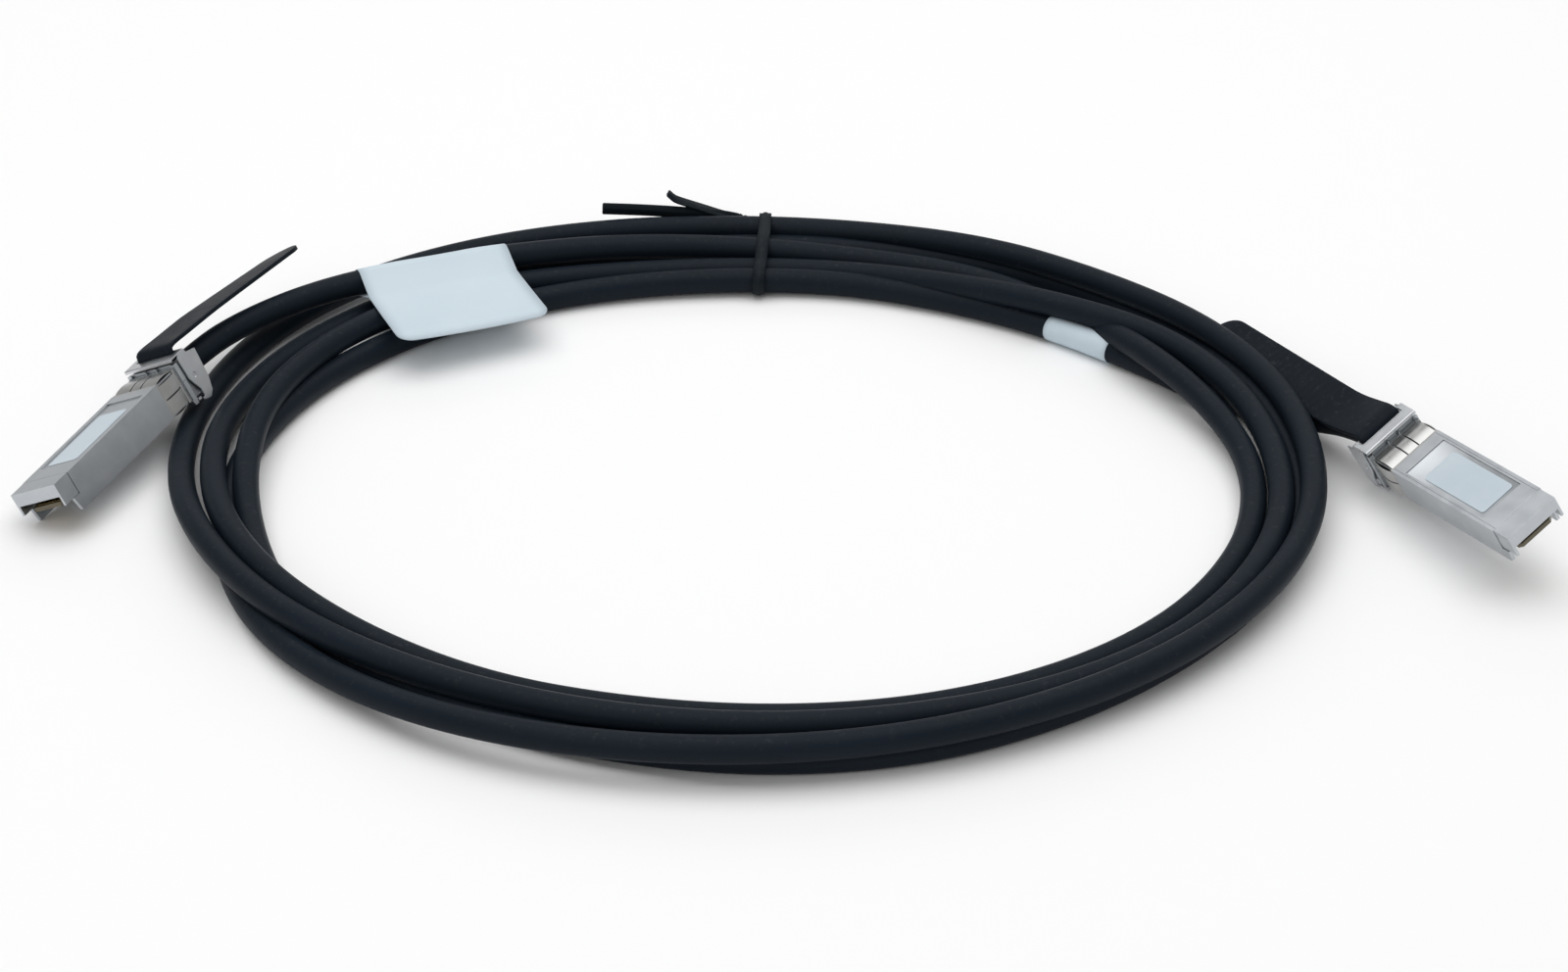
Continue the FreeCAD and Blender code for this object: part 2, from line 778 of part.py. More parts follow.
def release_bracket(side, placement):
    body = new_body(side + "_bracket")
    top = size("bracket_top")
    wall = size("bracket_sheet")
    front = size("head_start")
    top_rear = front + size("bracket_top_length")
    pivot_x = size("bracket_pivot_x")
    pivot_z = size("bracket_pivot_z")
    cheeks = outline(body, side + "_cheeks", "XZ_Plane",
                     [(pivot_x - 2.2, top - 1.1), (pivot_x - 1.2, top), (top_rear, top),
                      (top_rear + 0.3, top - 1.2), (pivot_x + 4.1, top - 1.9),
                      (pivot_x + 3.5, pivot_z - 2.5), (pivot_x + 2.5, pivot_z - 5.3),
                      (pivot_x + 1.2, pivot_z - 6.3), (pivot_x - 0.6, pivot_z - 6.0),
                      (pivot_x - 1.2, pivot_z - 5.6), (pivot_x - 1.2, pivot_z - 5.2),
                      (pivot_x - 0.4, pivot_z - 5.2), (pivot_x - 0.4, pivot_z - 3.5),
                      (pivot_x - 2.0, pivot_z + 0.1)])
    pad(body, cheeks, bracket_outer * 2)
    plate = outline(body, side + "_bracket_plate", "XZ_Plane",
                    [(front, top - wall - size("bracket_lip")), (front + wall, top - wall),
                     (top_rear, top - wall), (top_rear, top), (front + 0.2, top),
                     (front, top - 0.2)])
    pad(body, plate, bracket_outer * 2)
    space = outline(body, side + "_bracket_space", "XZ_Plane",
                    rectangle(front + 0.5, pivot_x + 6, pivot_z - 8, top - wall))
    pocket(body, space, bracket_inner * 2)
    slot_half = size("tab_width") / 2 + 0.35
    slot = outline(body, side + "_tab_slot", "XY_Plane",
                   rectangle(size("slot_front"), size("slot_front") + size("slot_length"),
                             -slot_half, slot_half), top - wall - 1)
    pocket(body, slot, wall + 2, both_ways=False, reverse=True)

    # Dimples: a stub inside each cheek turns in the head, and a hollow shows outside.
    stub_end = bracket_inner - size("pivot_reach")
    for number, reverse in enumerate((False, True)):
        offset = stub_end if reverse else -stub_end
        stub = circle(body, "%s_stub_%d" % (side, number), "XZ_Plane", pivot_x, pivot_z,
                      size("pivot_radius"), offset)
        pad(body, stub, size("pivot_reach") + 0.1, both_ways=False, reverse=not reverse)
        hollow_start = bracket_outer - size("dimple_depth")
        hollow_offset = hollow_start if reverse else -hollow_start
        hollow = circle(body, "%s_dimple_%d" % (side, number), "XZ_Plane", pivot_x, pivot_z,
                        size("pivot_radius") * 0.7, hollow_offset)
        pocket(body, hollow, 1, both_ways=False, reverse=reverse)
    return finish(body, side + "_release_bracket", placement)


def lock_lever(side, placement):
    body = new_body(side + "_lever")
    low = size("lever_underside")
    high = low + size("lever_sheet")
    front = size("lever_front")
    pivot_x = size("lever_pivot_x")
    pivot_z = size("lever_pivot_z")
    bar = outline(body, side + "_lever_bar", "XZ_Plane", rectangle(front, pivot_x, low, high))
    pad(body, bar, size("lever_width"))
    barrel = circle(body, side + "_lever_barrel", "XZ_Plane", pivot_x, pivot_z,
                    size("lever_barrel"))
    pad(body, barrel, size("lever_width"))
    catch_rear = front + size("catch_length")
    catch = outline(body, side + "_catch", "XZ_Plane",
                    [(front, low + 0.1), (catch_rear - 0.6, -size("catch_drop")),
                     (catch_rear, -size("catch_drop")), (catch_rear, low + 0.1)])
    pad(body, catch, size("catch_width"))
    wing_rear = size("wing_front") + size("wing_length")
    web = outline(body, side + "_web", "XZ_Plane",
                  rectangle(size("wing_front"), wing_rear, size("wing_underside"), low + 0.1))
    pad(body, web, size("lever_width"))
    wings = outline(body, side + "_wings", "XZ_Plane",
                    rectangle(size("wing_front"), wing_rear, size("wing_underside"),
                              size("wing_top")))
    pad(body, wings, bracket_outer * 2)
    eye = circle(body, side + "_lever_eye", "XZ_Plane", pivot_x, pivot_z,
                 size("lever_pin_radius") + size("lever_pin_play"))
    pocket(body, eye, size("lever_width") + 2)
    return finish(body, side + "_lock_lever", placement)


def lever_pin(side, placement):
    length = size("head_width") - 0.4
    pin = rod(side + "_pin", size("lever_pin_radius"), length,
              (size("lever_pivot_x"), -length / 2, size("lever_pivot_z")), "y")
    return finish(group(side + "_pin_in_head", [pin]), side + "_lever_pin", placement)


def lever_spring(side, placement):
    body = new_body(side + "_spring")
    wall = size("spring_sheet")
    high = size("bridge_underside")
    rear = size("bridge_front") + size("bridge_length")
    fold = size("bridge_front") + 0.4
    foot = size("lever_underside") + size("lever_sheet")
    tip = fold - 2.4
    leaf = outline(body, side + "_leaf", "XZ_Plane",
                   [(rear, high), (fold, high), (tip, foot + wall), (tip - 0.8, foot + wall),
                    (tip - 0.8, foot), (tip, foot), (fold, high - wall), (rear, high - wall)])
    pad(body, leaf, size("spring_width"))
    return finish(body, side + "_lever_spring", placement)


# ---------------------------------------------------------------- pull tab and ferrule

# The tab hangs in the bracket's slot by a bead, rises, and runs back over the cable. It is
# flexible, so each plug's tab has its own bend.
def pull_tab(side, placement):
    half = size("tab_width") / 2
    wall = size("tab_thickness")
    root = size("tab_root_x")
    bend_x = size("tab_bend_x")
    bend_z = size(side + "_tab_bend_z")
    bead_high = size("bracket_top") - size("bracket_sheet") - size("tab_bead_gap")
    bead_low = bead_high - size("tab_bead_height")
    neck = new_body(side + "_tab_neck")
    profile = outline(neck, side + "_tab_profile", "XZ_Plane",
                      [(root - size("tab_bead"), bead_low), (root + size("tab_bead"), bead_low),
                       (root + size("tab_bead"), bead_high), (root + wall / 2, bead_high),
                       (root + wall / 2, size("tab_rise") - wall * 1.5), (bend_x, bend_z - wall),
                       (bend_x, bend_z), (root + wall / 2, size("tab_rise")),
                       (root - wall / 2, size("tab_rise") - wall / 2),
                       (root - wall / 2, bead_high), (root - size("tab_bead"), bead_high)])
    pad(neck, profile, size("tab_width"))

    leaf = new_body(side + "_tab_leaf")
    length = size("tab_leaf_length")
    shape = outline(leaf, side + "_leaf_outline", "XY_Plane",
                    [(-wall / 2, -half), (length - half, -half, half), (length, 0, half),
                     (length - half, half), (-wall / 2, half)])
    pad(leaf, shape, wall, both_ways=False, reverse=True)
    for number in range(int(size("rib_count").value)):
        start = size("rib_start") + size("rib_pitch") * number
        rib = outline(leaf, "%s_rib_%d" % (side, number), "XZ_Plane",
                      [(start, -wall / 4), (start + size("rib_width"), -wall / 4),
                       (start + size("rib_width"), 0),
                       (start + size("rib_width") * 0.7, size("rib_height")),
                       (start + size("rib_width") * 0.3, size("rib_height")), (start, 0)])
        pad(leaf, rib, (half - size("rib_margin")) * 2)
    bind(leaf, "Placement.Base.x", bend_x)
    bind(leaf, "Placement.Base.z", bend_z)
    leaf.Placement.Rotation = FreeCAD.Rotation(
        Vector(0, 1, 0), size(side + "_tab_droop").value)
    return finish(fuse(side + "_tab", [neck, leaf]), side + "_pull_tab", placement)


def cable_ferrule(side, placement):
    inner = size("cable_radius") + size("ferrule_play")
    axis_z = size("cable_axis_z")
    front = size("ferrule_front")
    rear = size("ferrule_rear")
    rim_start = rear - size("ferrule_rim_length")
    sleeve = rod(side + "_sleeve", inner + size("ferrule_wall"), rear - front,
                 (front, 0, axis_z), "x")
    rim = rod(side + "_rim", size("ferrule_rim_radius"), size("ferrule_rim_length"),
              (rim_start, 0, axis_z), "x")
    bore = rod(side + "_ferrule_bore", inner, rear - front + 2, (front - 1, 0, axis_z), "x")
    solid = fuse(side + "_ferrule_solid", [sleeve, rim])
    return finish(cut(side + "_ferrule", solid, bore), side + "_cable_ferrule", placement)


plug_pieces = (
    top_shell, bottom_shell, edge_card, contact_pads, memory_chip, wire_potting, twin_wires,
    sticker, shielding_collar, release_bracket, lock_lever, lever_pin, lever_spring, pull_tab,
    cable_ferrule,
)

plug_places = {}
for side in ("left", "right"):
    place = FreeCAD.Placement(
        Vector(size(side + "_x").value, size(side + "_y").value, size(side + "_z").value),
        FreeCAD.Rotation(size(side + "_yaw").value, -size(side + "_rise").value,
                         size(side + "_roll").value),
    )
    plug_places[side] = place
    for piece in plug_pieces:
        piece(side, place)


# ---------------------------------------------------------------- coil

# Either half may be the longer one: the ellipse turns a quarter where its width is.
def oval(name, half_length, half_width, height, centre):
    along = as_size(half_length).text
    across = as_size(half_width).text
    ellipse = doc.addObject("Part::Ellipse", name + "_edge")
    ellipse.setExpression("MajorRadius", "max(%s; %s)" % (along, across))
    ellipse.setExpression("MinorRadius", "min(%s; %s)" % (along, across))
    ellipse.setExpression("Placement.Rotation.Angle",
                          "%s < %s ? 90 deg : 0 deg" % (along, across))
    for letter, start in zip("xyz", centre):
        bind(ellipse, "Placement.Base." + letter, start)
    block = doc.addObject("Part::Extrusion", name)
    block.Base = ellipse
    block.DirMode = "Custom"
    block.Dir = Vector(0, 0, 1)
    block.Solid = True
    bind(block, "LengthFwd", height)
    return block


def cable_coil():
    centre_x = size("coil_x")
    centre_y = size("coil_y")
    height = size("coil_height")
    outer = oval("coil_outer", size("coil_half_length"), size("coil_half_width"), height,
                 (centre_x, centre_y, 0))
    eye = oval("coil_eye", size("eye_half_length"), size("eye_half_width"), height + 2,
               (centre_x, centre_y + size("eye_shift"), -1))
    ring = cut("coil_ring", outer, eye)
    doc.recompute()
    rounded = doc.addObject("Part::Chamfer", "coil_rounded")
    rounded.Base = ring
    reach = size("coil_bevel").value
    rounded.Edges = [(number + 1, reach, reach) for number, edge in enumerate(ring.Shape.Edges)
                     if edge.BoundBox.ZLength < 1e-6]
    waist_half = size("tie_width") / 2 + size("tie_play")
    waist = box("coil_waist", (size("tie_x") - waist_half, centre_y, -1),
                (size("tie_x") + waist_half, centre_y + size("coil_half_width") + 1,
                 size("tie_thickness") + size("tie_play")))

    # The right tab and the left head lie across the coil's edge, so it gives way to them.
    play = size("coil_relief")
    tab_reach = size("tab_width") / 2 + play
    tab_low = size("right_tab_bend_z") - size("tab_thickness") - play
    tab_rear = size("tab_bend_x") + size("tab_leaf_length") + size("tab_travel") + play
    head_reach = bracket_outer + play
    head_front = size("head_start") - size("foot_reach")
    reliefs = {
        "right": ((head_rear, -tab_reach, tab_low), (tab_rear, tab_reach, size("tab_rise") * 2)),
        "left": ((head_front, -head_reach, -head_reach),
                 (head_rear + play + 2, head_reach, size("tab_rise"))),
    }
    tools = [waist]
    for side, (low, high) in reliefs.items():
        relief = group("coil_relief_" + side, [box("coil_space_" + side, low, high)])
        relief.Placement = plug_places[side]
        tools.append(relief)
    return finish(cut("coil", rounded, fuse("coil_cuts", tools)), "cable_coil")


def twist_tie():
    wide = size("tie_width") / 2
    wall = size("tie_thickness")
    play = size("tie_play")
    centre_x = size("tie_x")
    inner_y = size("coil_y") + size("eye_shift") + size("eye_half_width") - play
    outer_y = size("coil_y") + size("coil_half_width") + play
    top = size("coil_height") + play
    loop = box("tie_loop_outer", (centre_x - wide, inner_y - wall, 0),
               (centre_x + wide, outer_y + wall, top + wall))
    hole = box("tie_loop_inner", (centre_x - wide - 1, inner_y, wall),
               (centre_x + wide + 1, outer_y, top))
    band = cut("tie_band", loop, hole)

    # Two tails stand on edge and run off to the left from the top of the loop.
    tails = []
    for name in ("long", "short"):
        tail = doc.addObject("Part::Box", "tie_tail_" + name)
        bind(tail, "Length", size("tie_%s_tail" % name))
        bind(tail, "Width", wall)
        bind(tail, "Height", size("tie_width"))
        start = Vector(centre_x.value, outer_y.value - wide.value, top.value + play.value)
        rise = FreeCAD.Rotation(size("tie_heading").value, -size("tie_%s_rise" % name).value, 0)
        tail.Placement = FreeCAD.Placement(start, rise)
        tails.append(tail)
    return finish(fuse("tie", [band] + tails), "twist_tie")


# ---------------------------------------------------------------- free stretches of the cable

# Straight runs joined by arcs that are as large as the runs on both sides allow.
def tube_path(points):
    edges = []
    start = points[0]
    for before, corner, after in zip(points, points[1:], points[2:]):
        arriving = (corner - before).normalize()
        leaving = (after - corner).normalize()
        turn = arriving.getAngle(leaving)
        shorter = min((corner - before).Length, (after - corner).Length)
        reach = 0.45 * shorter
        radius = reach / math.tan(turn / 2)
        entry = corner - arriving * reach
        leave = corner + leaving * reach
        bisector = (leaving - arriving).normalize()
        centre = corner + bisector * (radius / math.cos(turn / 2))
        middle = centre - bisector * radius
        edges.append(Part.LineSegment(start, entry).toShape())
        edges.append(Part.Arc(entry, middle, leave).toShape())
        print("cable bend radius %.1f mm, turn %.0f degrees" % (radius, math.degrees(turn)))
        start = leave
    edges.append(Part.LineSegment(start, points[-1]).toShape())
    return Part.Wire(edges)


def cable_tube(label, points):
    path = tube_path(points)
    radius = size("cable_radius").value
    direction = (points[1] - points[0]).normalize()
    section = Part.Wire(Part.makeCircle(radius, points[0], direction))
    tube = path.makePipeShell([section], True, False)
    expected = math.pi * radius ** 2 * path.Length
    print("%s: volume %.1f, section by length %.1f" % (label, tube.Volume, expected))
    feature = doc.addObject("Part::Feature", label)
    feature.Shape = tube
    return finish(feature, label)


def in_plug(side, along, across, up):
    return plug_places[side].multVec(Vector(along, across, up))


# Points of the route chosen by hand: out of the ferrule, then down to the coil.
exit_x = size("ferrule_front").value
axis_z = size("cable_axis_z").value
left_route = [
    in_plug("left", exit_x, 0, axis_z),
    in_plug("left", exit_x + size("left_straight").value, 0, axis_z),
    Vector(-117.4, 37.5, 11.3),
    Vector(-106.2, 50.0, 10.4),
    Vector(-92.2, 60.5, 9.2),
    Vector(-77.2, 66.8, 6.4),
]
right_route = [
    in_plug("right", exit_x, 0, axis_z),
    in_plug("right", exit_x + size("right_straight").value, 0, axis_z),
    Vector(116.6, 13.5, 3.6),
    Vector(108.4, 28.5, 2.9),
    Vector(98.4, 42.5, 2.88),
]


# ---------------------------------------------------------------- flag labels

# A flag folded round the cable: a half-round wrap along one edge, then a flat leaf. The right
# one is folded round a turn at the bottom of the coil, so only its leaf comes out.
def flag_label(side, wrapped, width):
    label = side + "_flag_label"
    wall = size("flag_sheet").value
    length = size("flag_length").value
    radius = size("flag_wrap_radius").value if wrapped else 0.0
    leaf = Part.makeBox(length, width, wall, Vector(0, radius, 0))
    far = radius + width
    corners = [edge for edge in leaf.Edges
               if abs(edge.BoundBox.YMin - far) < 1e-6 and edge.BoundBox.ZLength > wall / 2
               and edge.BoundBox.XLength < 1e-6]
    flag = leaf.makeFillet(size("flag_corner").value, corners)
    if wrapped:
        outer = radius + wall
        wrap = Part.makeCylinder(outer, length, Vector(0, 0, 0), Vector(1, 0, 0))
        wrap = wrap.cut(Part.makeCylinder(radius, length, Vector(0, 0, 0), Vector(1, 0, 0)))
        wrap = wrap.common(Part.makeBox(length, 2 * outer, outer, Vector(0, -outer, 0)))
        flag = wrap.fuse(flag).removeSplitter()
    feature = doc.addObject("Part::Feature", label)
    feature.Shape = flag
    corner = Vector(*[size("%s_flag_%s" % (side, letter)).value for letter in "xyz"])
    turn = FreeCAD.Rotation(size(side + "_flag_heading").value, 0, -size(side + "_flag_dip").value)
    return finish(feature, label, FreeCAD.Placement(corner, turn))


cable_coil()
twist_tie()
cable_tube("left_cable_lead", left_route)
cable_tube("right_cable_lead", right_route)
flag_label("left", True, size("flag_width").value)
flag_label("right", False, size("flag_shown").value)


# ---------------------------------------------------------------- check and write

doc.recompute()
for thing in doc.Objects:
    if "Invalid" in thing.State or "Error" in thing.State:
        raise RuntimeError("%s did not build: %s" % (thing.Name, thing.State))
for thing in finished:
    shape = thing.Shape
    if shape.isNull() or not shape.isValid() or not shape.Solids:
        raise RuntimeError("%s has no valid shape" % thing.Label)

os.makedirs("parts", exist_ok=True)
for thing in finished:
    thing.Shape.exportStep("parts/%s.step" % thing.Label)
    box_size = thing.Shape.BoundBox
    print("%-26s solids %d volume %9.2f  x %.1f..%.1f  y %.1f..%.1f  z %.2f..%.2f" % (
        thing.Label, len(thing.Shape.Solids), thing.Shape.Volume, box_size.XMin, box_size.XMax,
        box_size.YMin, box_size.YMax, box_size.ZMin, box_size.ZMax))
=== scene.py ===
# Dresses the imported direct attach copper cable: one wound cable, two plugs, two flags and a tie.
import math

import bmesh
import bpy
from mathutils import Matrix, Vector


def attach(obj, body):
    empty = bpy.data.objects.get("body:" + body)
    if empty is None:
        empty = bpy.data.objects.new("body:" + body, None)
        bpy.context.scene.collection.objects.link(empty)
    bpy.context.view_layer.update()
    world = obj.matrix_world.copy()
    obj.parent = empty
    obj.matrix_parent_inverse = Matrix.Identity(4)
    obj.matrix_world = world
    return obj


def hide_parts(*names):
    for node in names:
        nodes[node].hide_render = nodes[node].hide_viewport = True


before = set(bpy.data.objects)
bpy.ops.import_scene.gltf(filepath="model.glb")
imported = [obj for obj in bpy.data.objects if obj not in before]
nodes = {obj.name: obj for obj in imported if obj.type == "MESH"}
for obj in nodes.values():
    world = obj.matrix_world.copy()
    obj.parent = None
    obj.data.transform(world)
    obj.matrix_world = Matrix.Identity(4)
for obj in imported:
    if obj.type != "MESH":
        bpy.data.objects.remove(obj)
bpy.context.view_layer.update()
scene = bpy.context.scene
mm = 0.001
tolerance = 1e-4
sides = ("left", "right")
print("frame loaded with %d CAD nodes" % len(nodes))


# The camera looks down at the middle of the coil from the front.
view = {
    "stand": (1.85, -731.65, 430.6),
    "target": (1.85, -15.05, 0.0),
    "lens": 90.0,
    "sensor": 36.0,
    "farEnd": 20.0,
}


# Turn of a camera or a lamp that stands at one point and looks at another.
def lookAt(stand, target):
    return (Vector(target) - Vector(stand)).to_track_quat("-Z", "Y").to_euler()


cameraData = bpy.data.cameras.new("productCamera")
cameraData.lens = view["lens"]
cameraData.sensor_width = view["sensor"]
cameraData.clip_end = view["farEnd"]
camera = bpy.data.objects.new("productCamera", cameraData)
camera.location = Vector(view["stand"]) * mm
camera.rotation_euler = lookAt(view["stand"], view["target"])
scene.collection.objects.link(camera)
scene.camera = camera


# Small helpers for node trees.
def addNode(tree, kind, at, **settings):
    node = tree.nodes.new(kind)
    node.location = at
    for name, value in settings.items():
        setattr(node, name, value)
    return node


def setInputs(node, values):
    for name, value in values.items():
        node.inputs[name].default_value = value
    return node


def joinNodes(tree, joints):
    for source, output, target, entry in joints:
        tree.links.new(source.outputs[output], target.inputs[entry])


def newGroup(name, inputs, output, kind):
    tree = bpy.data.node_groups.new(name, "ShaderNodeTree")
    for label, (socketKind, value) in inputs.items():
        socket = tree.interface.new_socket(name=label, in_out="INPUT", socket_type=socketKind)
        socket.default_value = value
    tree.interface.new_socket(name=output, in_out="OUTPUT", socket_type=kind)
    start = addNode(tree, "NodeGroupInput", (-900, 0))
    end = addNode(tree, "NodeGroupOutput", (700, 0))
    return tree, start, end


def addGroup(tree, group, at, values):
    node = addNode(tree, "ShaderNodeGroup", at, node_tree=group)
    return setInputs(node, values)


# Blotches: a slow change over the surface, between 0 and 1.
def makeBlotches():
    tree, start, end = newGroup(
        "blotches", {"Size": ("NodeSocketFloat", 60.0), "Contrast": ("NodeSocketFloat", 0.5)},
        "Mask", "NodeSocketFloat")
    place = addNode(tree, "ShaderNodeTexCoord", (-700, 100))
    noise = addNode(tree, "ShaderNodeTexNoise", (-450, 100))
    setInputs(noise, {"Detail": 4.0, "Roughness": 0.55})
    low = addNode(tree, "ShaderNodeMath", (-200, -120), operation="MULTIPLY_ADD")
    setInputs(low, {1: -0.5, 2: 0.5})
    high = addNode(tree, "ShaderNodeMath", (-200, -300), operation="SUBTRACT")
    setInputs(high, {0: 1.0})
    ramp = addNode(tree, "ShaderNodeMapRange", (50, 100))
    joinNodes(tree, [
        (place, "Object", noise, "Vector"), (start, "Size", noise, "Scale"),
        (start, "Contrast", low, 0), (low, 0, high, 1), (noise, "Fac", ramp, "Value"),
        (low, 0, ramp, "From Min"), (high, 0, ramp, "From Max"), (ramp, "Result", end, "Mask")])
    return tree


# Scratches: thin marks where a stretched noise crosses its middle, in patches.
def makeScratches():
    tree, start, end = newGroup(
        "scratches", {"Size": ("NodeSocketFloat", 900.0),
                      "Stretch": ("NodeSocketVector", (1.0, 0.08, 1.0)),
                      "Width": ("NodeSocketFloat", 0.012)},
        "Mask", "NodeSocketFloat")
    place = addNode(tree, "ShaderNodeTexCoord", (-800, 100))
    scale = addNode(tree, "ShaderNodeVectorMath", (-620, 100), operation="MULTIPLY")
    noise = addNode(tree, "ShaderNodeTexNoise", (-440, 100))
    setInputs(noise, {"Detail": 1.0, "Distortion": 0.4})
    offset = addNode(tree, "ShaderNodeMath", (-240, 100), operation="SUBTRACT")
    setInputs(offset, {1: 0.5})
    level = addNode(tree, "ShaderNodeMath", (-80, 100), operation="ABSOLUTE")
    ramp = addNode(tree, "ShaderNodeMapRange", (120, 100))
    setInputs(ramp, {"From Min": 0.0, "To Min": 1.0, "To Max": 0.0})
    patches = addNode(tree, "ShaderNodeTexNoise", (-240, -200))
    setInputs(patches, {"Scale": 180.0, "Detail": 2.0})
    gate = addNode(tree, "ShaderNodeMapRange", (-20, -200))
    setInputs(gate, {"From Min": 0.5, "From Max": 0.62})
    both = addNode(tree, "ShaderNodeMath", (320, 0), operation="MULTIPLY")
    joinNodes(tree, [
        (place, "Object", scale, 0), (place, "Object", patches, "Vector"),
        (start, "Stretch", scale, 1), (scale, 0, noise, "Vector"), (start, "Size", noise, "Scale"),
        (noise, "Fac", offset, 0), (offset, 0, level, 0), (level, 0, ramp, "Value"),
        (start, "Width", ramp, "From Max"), (patches, "Fac", gate, "Value"),
        (ramp, "Result", both, 0), (gate, "Result", both, 1), (both, 0, end, "Mask")])
    return tree


# Fine grain: a bump that stands for casting, moulding or paper grain.
def makeGrain():
    tree, start, end = newGroup(
        "fineGrain", {"Size": ("NodeSocketFloat", 2500.0),
                      "Stretch": ("NodeSocketVector", (1.0, 1.0, 1.0)),
                      "Depth": ("NodeSocketFloat", 0.1)},
        "Normal", "NodeSocketVector")
    place = addNode(tree, "ShaderNodeTexCoord", (-700, 100))
    scale = addNode(tree, "ShaderNodeVectorMath", (-520, 100), operation="MULTIPLY")
    noise = addNode(tree, "ShaderNodeTexNoise", (-340, 100))
    setInputs(noise, {"Detail": 3.0, "Roughness": 0.6})
    bump = addNode(tree, "ShaderNodeBump", (0, -60))
    setInputs(bump, {"Distance": 0.00006})
    joinNodes(tree, [
        (place, "Object", scale, 0), (start, "Stretch", scale, 1), (scale, 0, noise, "Vector"),
        (start, "Size", noise, "Scale"), (noise, "Fac", bump, "Height"),
        (start, "Depth", bump, "Strength"), (bump, "Normal", end, "Normal")])
    return tree


# Dust: lies on faces that look up, in patches.
def makeDust():
    tree, start, end = newGroup("settledDust", {"Amount": ("NodeSocketFloat", 0.3)},
                                "Mask", "NodeSocketFloat")
    place = addNode(tree, "ShaderNodeTexCoord", (-700, 100))
    normal = addNode(tree, "ShaderNodeNewGeometry", (-700, -200))
    split = addNode(tree, "ShaderNodeSeparateXYZ", (-500, -200))
    upward = addNode(tree, "ShaderNodeMapRange", (-300, -200))
    setInputs(upward, {"From Min": 0.3, "From Max": 1.0})
    noise = addNode(tree, "ShaderNodeTexNoise", (-500, 100))
    setInputs(noise, {"Scale": 700.0, "Detail": 6.0, "Roughness": 0.7})
    specks = addNode(tree, "ShaderNodeMapRange", (-300, 100))
    setInputs(specks, {"From Min": 0.56, "From Max": 0.8})
    both = addNode(tree, "ShaderNodeMath", (0, 0), operation="MULTIPLY")
    level = addNode(tree, "ShaderNodeMath", (200, 0), operation="MULTIPLY")
    joinNodes(tree, [
        (normal, "Normal", split, 0), (split, "Z", upward, "Value"),
        (place, "Object", noise, "Vector"), (noise, "Fac", specks, "Value"),
        (upward, "Result", both, 0), (specks, "Result", both, 1), (both, 0, level, 0),
        (start, "Amount", level, 1), (level, 0, end, "Mask")])
    return tree


blotches = makeBlotches()
scratches = makeScratches()
fineGrain = makeGrain()
settledDust = makeDust()

# What every finish has unless it says otherwise.
plainFinish = {
    "metal": 0.0, "driftSize": 60.0, "driftContrast": 0.45,
    "marks": 0.3, "markRoughness": 0.25, "scratchSize": 900.0, "scratchWidth": 0.01,
    "scratchStretch": (1.0, 0.08, 1.0),
    "dust": 0.1, "dustColour": (0.42, 0.41, 0.39),
    "grain": 0.1, "grainSize": 2500.0, "grainStretch": (1.0, 1.0, 1.0),
    # reach and range of the occlusion test behind the painted shade in gaps and inner corners
    "paintedShadeReach": 0.0007, "paintedShadeRange": (0.15, 0.75),
}
